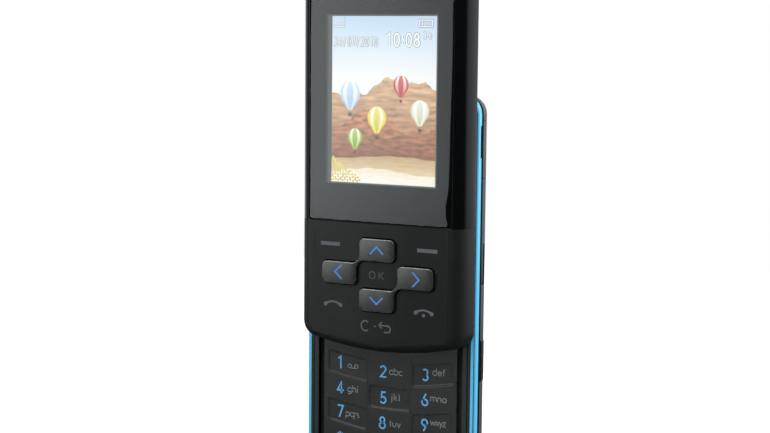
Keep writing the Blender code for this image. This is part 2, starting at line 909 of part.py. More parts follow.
def slider_rear_case():
    inset = shell_wall + seat_gap
    shape = slider_outline(inset, inset)
    wide = slider_outline(inset + shell_taper * lid_thickness / (slider_ceiling - slide_gap), inset)
    lid = loft("slider_rear_case", [section(wide, lid_front), section(shape, slide_gap)], soft_black)
    cut(lid, cable_slot("lid_cable_slot", cable_slider_end, lid_front + overrun, slide_gap - overrun))
    for side in (-1, 1):
        place = (side * slider_screw_across, slider_screw_up)
        cut(
            lid,
            disc("lid_hole", *place, screw_radius + screw_gap, lid_front + overrun, slide_gap - overrun,
                 sides=small_sides),
            disc("lid_counterbore", *place, screw_head_radius + screw_gap,
                 slide_gap + screw_head_height, slide_gap - overrun),
        )
    return lid


# Slide mechanism.
def along_body(name, profile, low, high, material):
    """A sheet-metal profile, given across and in heights, drawn along the body."""
    drawn = flat_curve(name, [(across, level(height)) for across, height in profile], high - low)
    drawn.location = (0, 0, (low + high) / 2)
    return as_mesh(drawn, name, material)


def fixed_slide_plate():
    """A floor with a channel along each side, open to the middle."""
    inner = rail_half_width - rail_sheet
    lip = rail_half_width - rail_lip
    half = [
        (rail_half_width, -rail_depth), (rail_half_width, -rail_front), (lip, -rail_front),
        (lip, -rail_front - rail_sheet), (inner, -rail_front - rail_sheet), (inner, rail_sheet - rail_depth),
    ]
    profile = half + [(-across, height) for across, height in reversed(half)]
    rail = along_body("fixed_slide_plate", profile, rail_low, rail_high, steel)
    cut(rail, cable_slot("rail_cable_slot", cable_base_end, 0.0, -rail_depth - overrun))
    return rail


def moving_slide_plate():
    """A hat-shaped plate: its middle is fixed to the slider, its feet run in the channels."""
    top = slide_gap - flank_gap
    inner = carriage_leg - carriage_sheet
    foot_top = carriage_foot_height + carriage_sheet
    half = [
        (inner, top - carriage_sheet), (inner, carriage_foot_height), (carriage_half_width, carriage_foot_height),
        (carriage_half_width, foot_top), (carriage_leg, foot_top), (carriage_leg, top),
    ]
    profile = [(-across, height) for across, height in reversed(half)] + half
    plate_piece = along_body(
        "moving_slide_plate", profile, carriage_low, carriage_high, steel
    )
    cut(plate_piece, cable_slot("carriage_cable_slot", cable_slider_end, slide_gap, carriage_foot_height))
    return plate_piece


def flex_cable():
    """A flat cable that leaves the base, lies along the rail, turns back and enters the slider."""
    bend_radius = (cable_high_height - cable_low_height) / 2
    middle = (cable_high_height + cable_low_height) / 2
    path = [(cable_base_end, main_board_height + seat_gap), (cable_base_end, cable_low_height - bend_radius)]
    path += quarter_turn(cable_base_end + bend_radius, cable_low_height - bend_radius, bend_radius, 180, 90)
    path += quarter_turn(cable_bend, middle, bend_radius, -90, 90)
    path += quarter_turn(cable_slider_end + bend_radius, cable_high_height + bend_radius, bend_radius, 270, 180)
    path += [(cable_slider_end, function_board_front - board_thickness - seat_gap)]
    half = cable_thickness / 2
    left, right = [], []
    for number, (up, height) in enumerate(path):
        before = path[max(number - 1, 0)]
        after = path[min(number + 1, len(path) - 1)]
        run_up, run_height = after[0] - before[0], after[1] - before[1]
        length = math.hypot(run_up, run_height)
        side_up, side_height = -run_height / length * half, run_up / length * half
        left.append((up + side_up, height + side_height))
        right.append((up - side_up, height - side_height))
    rim = left + right[::-1]
    ends = [cable_across - cable_half_width, cable_across + cable_half_width]
    sections = [[(across, level(height), up) for up, height in rim] for across in ends]
    return loft("flex_cable", sections, amber_film)


def quarter_turn(up, height, radius, first, last, steps=4):
    """Points of an arc in the plane that runs along the body and through it."""
    points = []
    for step in range(steps + 1):
        angle = math.radians(first + (last - first) * step / steps)
        points.append((up + radius * math.cos(angle), height + radius * math.sin(angle)))
    return points


def slide_spring():
    """A flat wire spring that winds from side to side between the two plates."""
    curve = bpy.data.curves.new("slide_spring", "CURVE")
    curve.dimensions = "3D"
    curve.bevel_depth = spring_wire
    curve.bevel_resolution = 1
    curve.use_fill_caps = True
    line = curve.splines.new("POLY")
    count = spring_bends * corner_steps + 1
    line.points.add(count - 1)
    middle = (spring_left + spring_right) / 2
    swing = (spring_right - spring_left) / 2 - spring_wire
    for number, point in enumerate(line.points):
        share = number / (count - 1)
        across = middle + swing * math.cos(math.pi * spring_bends * share)
        point.co = (across, level(spring_height), spring_low + (spring_high - spring_low) * share, 1)
    drawn = bpy.data.objects.new("slide_spring_drawn", curve)
    return as_mesh(drawn, "slide_spring", steel)


# Base front.
def trim_ring():
    profile = (
        (trim_width, 0.0), (trim_edge, 0.0), (0.0, -trim_edge), (0.0, -trim_groove_front),
        (trim_groove_depth, -(trim_groove_front + trim_groove_back) / 2), (0.0, -trim_groove_back),
        (0.0, -trim_depth), (trim_width, -trim_depth),
    )
    sections = [section(base_outline(inset, inset, inset), height) for inset, height in profile]
    ring = loft("trim_ring", sections, blue_trim, ring=True)
    cut(ring, finger_recess("trim_recess"))
    return ring


def keypad_row_edge(number):
    """The lower edge of a key row in the middle of the body, rows counted from the top, or the top of all rows."""
    return first_row_top if number == 0 else key_rows_low + key_pitch * (key_row_count - number)


def base_front_case():
    outer = base_outline(case_inset, case_inset, case_inset)
    wall = case_inset + shell_wall
    inner = base_outline(wall, wall, wall)
    case = loft("base_front_case", [
        section(inner, -base_face_wall), section(inner, front_wall_foot), section(outer, front_wall_foot),
        section(outer, -trim_edge), section(base_outline(case_inset + trim_edge, case_inset + trim_edge,
                                                         case_inset + trim_edge), 0.0),
    ], soft_black)
    pocket_half = rail_half_width + pocket_gap
    pocket_low = rail_low - pocket_end_gap
    pocket_high = rail_high + pocket_end_gap
    join(case, block(
        "tub", -pocket_half - tub_wall, pocket_half + tub_wall, -base_face_wall / 2, tub_back,
        pocket_low - tub_wall, pocket_high + tub_wall,
    ))
    join(case, chin())
    for across, up in base_screw_places():
        join(case, disc("front_boss", across, up, front_boss_radius, -base_face_wall / 2, main_board_height))
    cut(case, block(
        "slide_pocket", -pocket_half, pocket_half, overrun, -rail_depth - seat_gap, pocket_low, pocket_high,
    ))
    cut(case, cable_slot("pocket_cable_slot", cable_base_end, 0.0, tub_back - overrun))
    opening = outline(
        -keypad_opening_half_width, keypad_opening_half_width, keypad_opening_low, keypad_opening_high,
        keypad_opening_corner, keypad_opening_corner, end_bow, end_bow,
    )
    cut(case, plate("keypad_opening", opening, face_height, -base_face_wall - overrun))
    for across, up in base_screw_places():
        cut(case, disc(
            "front_boss_hole", across, up, screw_radius + screw_gap, -base_face_wall, main_board_height - overrun,
            sides=small_sides,
        ))
    cut(case, disc(
        "microphone_hole", 0.0, microphone_up, microphone_hole_radius, face_height + overrun,
        -base_face_wall - overrun, sides=small_sides,
    ))
    return case


def chin():
    """The raised end that the slider closes on, level with the slider's face."""
    def chin_outline(side_inset, foot_inset, top_inset):
        return outline(
            side_inset - body_half_width, body_half_width - side_inset, foot_inset, chin_height - top_inset,
            foot_corner - foot_inset, slider_corner - top_inset, 0.0, end_bow,
        )

    stem = case_inset + trim_edge
    sections = [
        section(chin_outline(stem, stem, trim_edge), -base_face_wall / 2),
        section(chin_outline(stem, stem, trim_edge), trim_gap),
        section(chin_outline(0.0, 0.0, 0.0), trim_gap),
    ]
    for share in round_level_shares:
        height = face_height - side_round_depth * (1 - share)
        foot_share = max(0.0, (height - (face_height - foot_round_width)) / foot_round_width)
        sections.append(section(chin_outline(
            round_over(share, side_round_width), round_over(foot_share, foot_round_width), end_inset_at(height),
        ), height))
    return loft("chin", sections)


def keypad_keys():
    """Twelve keys in bowed rows; every other one, like the squares of a chessboard, has a sunk pocket."""
    columns = (
        (-keypad_half_width, -keypad_middle_half_width),
        (-keypad_middle_half_width, keypad_middle_half_width),
        (keypad_middle_half_width, keypad_half_width),
    )
    names = ("1", "2", "3", "4", "5", "6", "7", "8", "9", "star", "0", "hash")
    for number, name in enumerate(names):
        row, column = divmod(number, 3)
        keypad_key("key_" + name, columns[column], row, column, number % 2 == 0, name == "5")


def keypad_key(name, span, row, column, sunk, dotted):
    half_gap = key_gap / 2
    left, right = span[0] + half_gap, span[1] - half_gap
    low, high = keypad_row_edge(row + 1) + half_gap, keypad_row_edge(row) - half_gap
    shape = outline(left, right, low, high, key_corner, key_corner, end_bow, end_bow, steps=row_steps)
    key = plate(name, shape, key_front, key_back, key_black)
    pocket_left = left + (key_outer_margin if column == 0 else key_side_margin)
    pocket_right = right - (key_outer_margin if column == 2 else key_side_margin)
    pocket_low = low + key_end_margin
    pocket_high = keypad_row_edge(row + 1) + key_pitch - half_gap - key_end_margin
    if sunk:
        levels = [(pocket_rim_shares[0][0] * pocket_slope, key_front + overrun)] + [
            (reach * pocket_slope, key_front - depth * pocket_depth) for reach, depth in pocket_rim_shares
        ]
        cut(key, loft(name + "_pocket", [
            section(outline(
                pocket_left + inset, pocket_right - inset, pocket_low + inset, pocket_high - inset,
                pocket_corner - inset, pocket_corner - inset, end_bow, end_bow, steps=row_steps,
            ), height) for inset, height in levels
        ]))
    middle_across = (pocket_left + pocket_right) / 2
    middle_up = (pocket_low + pocket_high) / 2
    if dotted:
        floor = key_front - pocket_depth
        dot_across = (pocket_right - pocket_left) / 2 - finger_dot_margin
        for side in (-1, 1):
            join(key, disc(
                name + "_dot", middle_across + side * dot_across, middle_up, finger_dot_radius,
                floor + finger_dot_rise, floor - finger_dot_rise, sides=small_sides,
            ))
    set_origin(key, middle_across, key_front, middle_up)
    return key


def keypad_sheet():
    return block(
        "keypad_sheet", -mat_half_width, mat_half_width, mat_front, mat_front - mat_thickness,
        mat_low, mat_high, rubber,
    )


def key_dome_sheet():
    return block(
        "key_dome_sheet", -dome_sheet_half_width, dome_sheet_half_width, dome_sheet_front,
        dome_sheet_front - dome_sheet_thickness, dome_sheet_low, dome_sheet_high, steel,
    )


# Inside the base.
def main_board():
    board = block(
        "main_board", -main_board_half_width, main_board_half_width, main_board_height, board_back,
        main_board_low, main_board_high, board_green,
    )
    for across, up in base_screw_places():
        cut(board, disc(
            "board_hole", across, up, front_boss_radius + screw_gap, overrun, rear_ceiling, sides=round_sides,
        ))
    return board


def shield_can():
    can = block(
        "shield_can", shield_left, shield_right, parts_front, parts_front - shield_thickness,
        shield_low, shield_high, steel,
    )
    soften(can, trim_edge)
    return can


def camera_module():
    block_back = parts_front - camera_block_depth
    camera = block(
        "camera_module", camera_across - camera_half_size, camera_across + camera_half_size, parts_front,
        block_back, camera_up - camera_half_size, camera_up + camera_half_size, dark_plastic,
    )
    join(camera, disc(
        "camera_barrel", camera_across, camera_up, camera_barrel_radius, block_back + mat_gap,
        rear_ceiling + camera_back_gap,
    ))
    return camera


def camera_window():
    back = -(base_depth - camera_window_sunk)
    window = disc(
        "camera_window", camera_across, camera_up, camera_window_radius, back + camera_window_thickness, back, glass,
    )
    soften(window, trim_edge)
    return window


def loudspeaker():
    shape = outline(
        speaker_across - speaker_half_width, speaker_across + speaker_half_width,
        speaker_up - speaker_half_height, speaker_up + speaker_half_height, speaker_corner, speaker_corner,
    )
    back = rear_ceiling + seat_gap
    return plate("loudspeaker", shape, back + speaker_thickness, back, dark_plastic)


def vibration_motor():
    motor = disc("vibration_motor", 0.0, 0.0, motor_radius, motor_length / 2, -motor_length / 2, steel)
    motor.rotation_euler = (0, math.radians(90), 0)
    motor.location = (motor_across, level(parts_front - motor_radius), motor_up)
    return motor


def antenna_carrier():
    carrier = block(
        "antenna_carrier", -antenna_half_width, antenna_half_width, parts_front, parts_front - antenna_thickness,
        antenna_low, antenna_high, dark_plastic,
    )
    soften(carrier, trim_edge)
    return carrier


def microphone():
    front = -base_face_wall - seat_gap
    return disc(
        "microphone", 0.0, microphone_up, microphone_radius, front, front - microphone_thickness, steel,
        sides=small_sides,
    )


def charging_connector():
    """A metal shell, open to the right."""
    back = parts_front - connector_thickness
    shell = block(
        "charging_connector", connector_inner, connector_outer, parts_front, back, connector_low,
        connector_high, steel,
    )
    cut(shell, block(
        "connector_mouth", connector_outer - connector_depth, connector_outer + overrun,
        parts_front - connector_wall, back + connector_wall, connector_low + connector_wall,
        connector_high - connector_wall,
    ))
    return shell


def battery():
    shape = outline(
        -battery_half_width, battery_half_width, battery_low, battery_high, battery_corner, battery_corner,
    )
    front = bay_floor_back - seat_gap
    piece = plate("battery", shape, front, front - battery_thickness, battery_grey)
    return piece


def card_holder():
    front = bay_floor_back - seat_gap
    holder = block(
        "card_holder", -holder_half_width, holder_half_width, front, front - holder_thickness,
        holder_low, holder_high, steel,
    )
    soften(holder, trim_edge)
    return holder


def cover_outline(growth):
    return outline(
        -cover_half_width - growth, cover_half_width + growth, cover_low - growth, cover_high + growth,
        cover_corner + growth, cover_corner + growth,
    )


def battery_cover():
    """The lid over the battery; it tips out about its lower outer edge."""
    cover = plate("battery_cover", cover_outline(0.0), cover_front, -base_depth, case_grey)
    shape = outline(
        -notch_half_width, notch_half_width, cover_high - notch_height, cover_high + overrun,
        notch_height / 2, smallest_corner,
    )
    cut(cover, plate("thumb_notch", shape, notch_depth - base_depth, -base_depth - overrun))
    set_origin(cover, 0.0, -base_depth, cover_low)
    return cover


# Rear case and what sits in its flanks.
def rear_outer_sections(growth=0.0):
    """The outside of the rear case, from its rim to its back, with its flanks grown outwards."""
    sections = [section(base_outline(-growth, 0.0, 0.0), rear_front)]
    for share in round_level_shares:
        height = -base_depth + back_round_depth * (1 - share)
        if height < rear_front:
            foot_share = max(0.0, (foot_round_width - base_depth - height) / foot_round_width)
            sections.append(section(base_outline(
                round_over(share, back_side_width) - growth, round_over(foot_share, foot_round_width),
                round_over(share, back_top_width),
            ), height))
    return sections


def rear_case():
    rim = base_outline(shell_wall, shell_wall, shell_wall)
    far = base_outline(shell_wall + shell_taper, shell_wall, shell_wall + shell_taper)
    case = loft("rear_case", [section(far, rear_ceiling), section(rim, rear_front)] + rear_outer_sections(),
                case_grey)
    join(case, block(
        "bay_tub", -bay_half_width - bay_wall, bay_half_width + bay_wall, -bay_floor_front,
        rear_ceiling - back_wall / 2, bay_low - bay_wall, bay_high + bay_wall,
    ))
    for across, up in base_screw_places():
        join(case, disc("rear_boss", across, up, boss_radius, board_back - seat_gap, rear_ceiling - overrun / 2))
    cut(case, block(
        "battery_bay", -bay_half_width, bay_half_width, bay_floor_back, -base_depth - overrun, bay_low, bay_high,
    ))
    cut(case, plate("cover_bed", cover_outline(cover_gap), cover_front + seat_gap, -base_depth - overrun))
    cut(case, disc(
        "camera_bed", camera_across, camera_up, camera_window_radius + seat_gap,
        camera_window_sunk + camera_window_thickness + seat_gap - base_depth, -base_depth - overrun,
    ))
    cut(case, disc(
        "camera_hole", camera_across, camera_up, camera_hole_radius, rear_ceiling + overrun, -base_depth - overrun,
    ))
    for slot in range(speaker_slots):
        up = speaker_up + (slot - (speaker_slots - 1) / 2) * speaker_slot_pitch
        shape = outline(
            speaker_across - speaker_slot_half_width, speaker_across + speaker_slot_half_width,
            up - speaker_slot_height / 2, up + speaker_slot_height / 2,
            speaker_slot_height / 2, speaker_slot_height / 2,
        )
        cut(case, plate("speaker_slot", shape, rear_ceiling + overrun / 2, -base_depth - overrun))
    for across, up in base_screw_places():
        cut(
            case,
            disc("rear_hole", across, up, screw_radius + screw_gap, rear_front + overrun, -base_depth - overrun,
                 sides=small_sides),
            disc("rear_counterbore", across, up, screw_head_radius + screw_gap,
                 counterbore_sunk + screw_head_height + seat_gap - base_depth, -base_depth - overrun),
        )
    cut(case, *flank_pockets())
    return case


def finger_recess(name):
    """A hollow that lets a fingernail under the port cover."""
    return block(
        name, body_half_width - recess_bite, body_half_width + overrun, -recess_front, -recess_back,
        recess_low, recess_high,
    )


def flank_block(name, side, inner, outer, front, back, low, high, material=None):
    """A box in one flank of the base: side is 1 for the right and -1 for the left."""
    return block(name, min(side * inner, side * outer), max(side * inner, side * outer), -front, -back, low, high,
                 material)


def flank_pockets():
    """The openings in the flanks, each a gap larger than the part in it."""
    wide = body_half_width + overrun
    bite = body_half_width - flank_bite - flank_gap
    through = body_half_width - flank_key_inner
    gap = flank_gap
    return (
        flank_block("port_bed", 1, bite, wide, port_front - gap, port_back + gap, port_low - gap, port_high + gap),
        flank_block("port_mouth", 1, through, wide, -parts_front, connector_thickness - parts_front,
                    connector_low, connector_high),
        finger_recess("case_recess"),
        flank_block("side_key_slot", 1, through, wide, side_key_slot_front, side_key_back + gap,
                    side_key_low - gap, side_key_high + gap),
        flank_block("camera_key_slot", 1, through, wide, camera_key_slot_front, camera_key_back + gap,
                    camera_key_low - gap, camera_key_high + gap),
        flank_block("volume_slot", -1, through, wide, volume_front - gap, volume_back + gap,
                    volume_low - gap, volume_high + gap),
    )


def port_cover():
    """A lid that follows the flank's own curve; it swings out about its lower outer edge."""
    cover = loft("port_cover", rear_outer_sections(), case_grey)
    keep = flank_block("port_keep", 1, body_half_width - flank_bite, body_half_width + overrun,
                       port_front, port_back, port_low, port_high)
    combine(cover, keep, "INTERSECT")
    cut(cover, finger_recess("cover_recess"))
    set_origin(cover, body_half_width, -port_front, port_low)
    return cover


def flank_key(name, side, rise, front, back, low, high):
    """A key in a flank that follows the flank's own curve and stands a rise proud of it."""
    inner = body_half_width - flank_key_inner
    key = loft(name, rear_outer_sections(rise), soft_black)
    keep = flank_block(name + "_keep", side, inner, body_half_width + overrun, front, back, low, high)
    combine(key, keep, "INTERSECT")
    soften(key, flank_key_bevel, segments=2)
    set_origin(key, side * inner, -(front + back) / 2, (low + high) / 2)
    return key


# Screws.
def screw(name, across, up, head, length, facing):
    """A small screw; its head's flat side is at the height head, and it points to the front or the back."""
    profile = (
        (0.0, -screw_socket_depth), (screw_socket_radius, -screw_socket_depth), (screw_socket_radius, 0.0),
        (screw_head_radius, 0.0), (screw_head_radius, -screw_head_height), (screw_radius, -screw_head_height),
        (screw_radius, -screw_head_height - length), (0.0, -screw_head_height - length),
    )
    shape = bmesh.new()
    points = [shape.verts.new((radius, 0, rise)) for radius, rise in profile]
    for one, two in zip(points, points[1:]):
        shape.edges.new((one, two))
    mesh = bpy.data.meshes.new(name)
    shape.to_mesh(mesh)
    shape.free()
    piece = new_object(name, mesh, steel)
    turn = piece.modifiers.new("turned", "SCREW")
    turn.steps = small_sides
    turn.render_steps = small_sides
    turn.use_merge_vertices = True
    turn.merge_threshold = weld_distance
    piece.rotation_euler = (math.radians(-90 * facing), 0, 0)
    piece.location = (across, level(head), up)
    return piece


def base_screw_places():
    return [
        (side * across, up) for across, up in
        ((base_screw_across_top, base_screw_up_top), (base_screw_across_foot, base_screw_up_foot))
        for side in (-1, 1)
    ]


def screws():
    for number, (across, up) in enumerate(base_screw_places()):
        head = counterbore_sunk - base_depth
        length = -head - screw_head_height - base_face_wall - 2 * mat_gap
        screw(f"base_screw_{number + 1}", across, up, head, length, 1)
    for number, side in enumerate((-1, 1)):
        screw(f"slider_screw_{number + 1}", side * slider_screw_across, slider_screw_up,
              slide_gap, slider_screw_length, 1)


# The whole phone.
slider_front_case()
display_window()
earpiece_grille()
display_module()
earpiece_receiver()
for key_name, key_across, key_up, key_half_width, key_half_height in flush_keys():
    flush_key(key_name, key_across, key_up, key_half_width, key_half_height)
for pair_name, pair_cells in pad_pairs():
    nav_key(pair_name, pair_cells)
function_key_sheet()
function_board()
slider_rear_case()
fixed_slide_plate()
moving_slide_plate()
flex_cable()
slide_spring()
trim_ring()
base_front_case()
keypad_keys()
keypad_sheet()
key_dome_sheet()
main_board()
shield_can()
camera_module()
camera_window()
loudspeaker()
vibration_motor()
antenna_carrier()
microphone()
charging_connector()
battery()
card_holder()
battery_cover()
rear_case()
port_cover()
flank_key("side_key", 1, -side_key_sunk, side_key_front, side_key_back, side_key_low, side_key_high)
flank_key("camera_key", 1, flank_rise, camera_key_front, camera_key_back,
          camera_key_low, camera_key_high)
flank_key("volume_rocker", -1, flank_rise, volume_front, volume_back, volume_low, volume_high)
screws()
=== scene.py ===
# %% [markdown]
# This lesson dresses a slider phone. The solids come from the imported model, and this file gives them the
# finishes, the printed marks and the lit picture that the real phone has. Loading the model comes first,
# because every place below is measured from it.

# %% Load the solids
import json
import math

import bmesh
import bpy
from mathutils import Matrix, Vector


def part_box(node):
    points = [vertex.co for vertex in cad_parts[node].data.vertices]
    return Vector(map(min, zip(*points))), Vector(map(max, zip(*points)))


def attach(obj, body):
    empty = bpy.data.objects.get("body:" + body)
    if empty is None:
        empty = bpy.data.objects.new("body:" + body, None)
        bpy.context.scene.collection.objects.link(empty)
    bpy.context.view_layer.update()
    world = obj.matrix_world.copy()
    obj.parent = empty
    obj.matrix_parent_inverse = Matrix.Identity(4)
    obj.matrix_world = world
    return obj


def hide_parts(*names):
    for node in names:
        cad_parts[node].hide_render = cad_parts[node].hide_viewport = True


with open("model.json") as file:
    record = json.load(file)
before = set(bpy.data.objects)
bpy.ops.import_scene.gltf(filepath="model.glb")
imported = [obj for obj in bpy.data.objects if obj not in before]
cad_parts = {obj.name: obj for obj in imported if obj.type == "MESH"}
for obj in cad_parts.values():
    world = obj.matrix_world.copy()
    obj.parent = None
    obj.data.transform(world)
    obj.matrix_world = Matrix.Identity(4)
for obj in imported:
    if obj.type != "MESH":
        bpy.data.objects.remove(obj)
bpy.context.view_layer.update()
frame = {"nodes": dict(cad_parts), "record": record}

mm = 0.001
nodes = frame["nodes"]


def add_object(name, data):
    """Puts something in the scene."""
    added = bpy.data.objects.new(name, data)
    bpy.context.scene.collection.objects.link(added)
    return added


def loft(shape, rings, closed=False):
    """Joins rings of points with faces. The ends of an open row get a face each."""
    rows = [[shape.verts.new(point) for point in ring] for ring in rings]
    for near, far in zip(rows, rows[1:] + (rows[:1] if closed else [])):
        for corner in range(len(near)):
            shape.faces.new((near[corner], near[corner - 1], far[corner - 1], far[corner]))
    if not closed:
        shape.faces.new(rows[0])
        shape.faces.new(rows[-1][::-1])


def mesh_of(shape, name):
    """Turns a drawn shape to a mesh."""
    mesh = bpy.data.meshes.new(name)
    shape.to_mesh(mesh)
    shape.free()
    return mesh


# %% [markdown]
# The camera stands to the right of the phone and a little above it, like a product photographer with a longer
# lens. A camera can be aimed with a constraint, but three angles are easier to read and give the small tilt
# of the picture as well: the turn around the phone, the dip towards the table and the roll.

# %% Camera
camera_place = Vector((196.2, -355.06, 113.04)) * mm
camera_turn, camera_dip, camera_roll = (math.radians(angle) for angle in (29.17, 6.15, 0.56))
camera = add_object("camera", bpy.data.cameras.new("camera"))
# a camera looks straight down until it is turned, so it is raised to the horizon, less the dip
aim = Matrix.Rotation(camera_turn, 3, "Z") @ Matrix.Rotation(math.radians(90) - camera_dip, 3, "X")
camera.matrix_world = Matrix.LocRotScale(camera_place, aim @ Matrix.Rotation(camera_roll, 3, "Z"), None)
camera.data.sensor_width = 36
camera.data.lens = 74.77
camera.data.clip_start = 10 * mm
bpy.context.scene.camera = camera
bpy.context.scene.view_settings.view_transform = "Standard"
print("camera", [round(value, 4) for value in camera.location])

# %% [markdown]
# A few helpers let a finish be read from top to bottom. One adds a shader node, sets it and links it, and the
# others use it for what comes up most: arithmetic, ranges, mixed colours and the place along an axis. Colours
# are written as the hex values that a colour picker shows, and one function turns them to the linear values
# that shaders work with.


# %% Shader helpers
def node(tree, kind, links=None, **settings):
    """Adds one node. links gives an input, by name or number, a value or the output of another node."""
    made = tree.nodes.new(kind)
    for name, value in settings.items():
        setattr(made, name, value)
    for name, value in (links or {}).items():
        if isinstance(value, bpy.types.NodeSocket):
            tree.links.new(value, made.inputs[name])
        else:
            made.inputs[name].default_value = value
    return made


def linear(hex_value):
    """An sRGB hex colour as linear red, green, blue and alpha."""
    shares = [int(hex_value[place:place + 2], 16) / 255 for place in (1, 3, 5)]
    return [share / 12.92 if share < 0.04045 else ((share + 0.055) / 1.055) ** 2.4 for share in shares] + [1.0]


def calc(tree, operation, *values):
    """The answer of a Math node."""
    return node(tree, "ShaderNodeMath", dict(enumerate(values)), operation=operation).outputs[0]


def spread(tree, value, low, high, first=0.0, last=1.0, **settings):
    """Turns a value that runs from low to high into one that runs from first to last and stops there."""
    return node(tree, "ShaderNodeMapRange", {
        "Value": value, "From Min": low, "From Max": high, "To Min": first, "To Max": last,
    }, **settings).outputs[0]


def mixed(tree, share, first, last, **settings):
    """A colour between two others. Each is a hex value, a list or the output of a node."""
    first, last = (linear(colour) if isinstance(colour, str) else colour for colour in (first, last))
    return node(tree, "ShaderNodeMix", {0: share, 6: first, 7: last}, data_type="RGBA", **settings).outputs[2]


def between(tree, share, first, last):
    """A number between two others."""
    return node(tree, "ShaderNodeMix", {0: share, 2: first, 3: last}, data_type="FLOAT").outputs[0]


def along(tree, where, axis, origin=None):
    """The place along an axis. With the origin of a piece it counts from the origin of the phone."""
    if origin is not None:
        where = node(tree, "ShaderNodeVectorMath", {0: where, 1: origin}, operation="ADD").outputs[0]
    return node(tree, "ShaderNodeSeparateXYZ", {0: where}).outputs[axis]


def scaled(tree, colour, factor):
    """A colour made brighter or darker."""
    return node(tree, "ShaderNodeVectorMath", {0: colour, "Scale": factor}, operation="SCALE").outputs[0]


def clear_rays(tree):
    """The light path, and 1 for rays that come from the camera, also through a clear piece."""
    ray = node(tree, "ShaderNodeLightPath").outputs
    return ray, calc(tree, "MAXIMUM", ray["Is Camera Ray"], ray["Is Transmission Ray"])


print("mid grey is", [round(value, 3) for value in linear("#808080")])

# %% [markdown]
# A dark glossy phone shows the room more than its own colour. The real one was lit by a soft panel on its
# left, with the dark side of the studio behind the camera and a pale surround. The world shader draws that
# room for reflections by direction, gives an even light to matt surfaces, and shows plain white to the
# camera. A ramp round the compass is simpler than building panels, and stays smooth.

# %% Studio
compass_levels = [
    (-180, 0.80), (-150, 1.10), (-125, 1.05), (-105, 0.80), (-88, 0.45), (-68, 0.12), (-56, 1.20), (-45, 2.90),
    (-33, 2.90), (-31, 2.60), (-29, 2.10), (-27, 1.65), (-25.5, 1.25), (-24.5, 1.00), (-23, 0.04), (55, 0.04),
    (80, 0.05), (87, 0.32), (95, 0.80), (105, 1.00), (150, 1.05), (180, 0.80),
]
brightest, overhead_level, even_light, panel_tint = 3.0, 2.6, 0.62, "#f5ffff"
world = bpy.data.worlds.new("studio")
bpy.context.scene.world = world
world.use_nodes = True
tree = world.node_tree
tree.nodes.clear()
direction = node(tree, "ShaderNodeSeparateXYZ", {0: node(tree, "ShaderNodeTexCoord").outputs["Generated"]}).outputs
compass = calc(tree, "ARCTAN2", direction["X"], calc(tree, "MULTIPLY", direction["Y"], -1.0))
round_room = node(tree, "ShaderNodeValToRGB", {"Fac": spread(tree, compass, -math.pi, math.pi)})
stops = round_room.color_ramp.elements
while len(stops) < len(compass_levels):
    stops.new(0.5)
for stop, (angle, _) in zip(stops, compass_levels):
    stop.position = (angle + 180) / 360
for stop, (_, level) in zip(stops, compass_levels):
    stop.color = [level / brightest] * 3 + [1.0]
# the panel and the room fade towards the floor
fade = spread(tree, direction["Z"], -0.175, -0.085, 0.42, 1.1)
overhead_share = spread(tree, direction["Z"], 0.35, 0.75, interpolation_type="SMOOTHSTEP")
room = mixed(tree, overhead_share, scaled(tree, round_room.outputs["Color"], fade),
             [overhead_level / brightest] * 3 + [1.0])
cool = mixed(tree, 1.0, room, panel_tint, blend_type="MULTIPLY")
ray, camera_rays = clear_rays(tree)
reflected, even, white = (
    node(tree, "ShaderNodeBackground", {"Color": colour, "Strength": strength}).outputs[0]
    for colour, strength in ((cool, brightest), (linear("#ffffff"), even_light), (linear("#ffffff"), 1.0))
)
by_gloss = node(tree, "ShaderNodeMixShader", {0: ray["Is Glossy Ray"], 1: even, 2: reflected}).outputs[0]
seen = node(tree, "ShaderNodeMixShader", {0: camera_rays, 1: by_gloss, 2: white}).outputs[0]
node(tree, "ShaderNodeOutputWorld", {"Surface": seen})

lamp_places, lamp_aim = [((-420, -560, 760), 520, 3.6), ((560, 330, 330), 300, 3.0)], (0, 0, 66)
for number, (place, width, watts) in enumerate(lamp_places):
    light = bpy.data.lights.new(f"soft_panel_{number + 1}", "AREA")
    light.shape, light.size, light.energy = "SQUARE", width * mm, watts
    lamp = add_object(light.name, light)
    lamp.location = Vector(place) * mm
    lamp.rotation_euler = (Vector(lamp_aim) * mm - lamp.location).to_track_quat("-Z", "Y").to_euler()
print(len(lamp_places), "soft panels, even light", even_light)

# %% [markdown]
# The floor is a white table top under the phone. It is a little darker than paper, so that it keeps a soft
# shadow, and an added glow for camera rays brings the lit part up to the white of the background. In
# reflections it is a dark cloth, because the lower edges of the real keys mirror something dark.

# %% Floor
floor_radius, floor_glow = 440 * mm, 0.42
shape = bmesh.new()
bmesh.ops.create_circle(shape, cap_ends=True, radius=floor_radius, segments=96)
floor = add_object("floor", mesh_of(shape, "floor"))
table_paint = bpy.data.materials.new("matt_white_table_paint")
table_paint.use_nodes = True
tree = table_paint.node_tree
paint = tree.nodes["Principled BSDF"]
ray, camera_rays = clear_rays(tree)
tree.links.new(mixed(tree, ray["Is Glossy Ray"], "#ececec", "#3c3c3c"), paint.inputs["Base Color"])
paint.inputs["Roughness"].default_value = 0.9
paint.inputs["Specular IOR Level"].default_value = 0.0
paint.inputs["Emission Color"].default_value = linear("#ffffff")
tree.links.new(calc(tree, "MULTIPLY", camera_rays, floor_glow), paint.inputs["Emission Strength"])
floor.data.materials.append(table_paint)
print("floor", round(floor_radius / mm), "mm in radius")

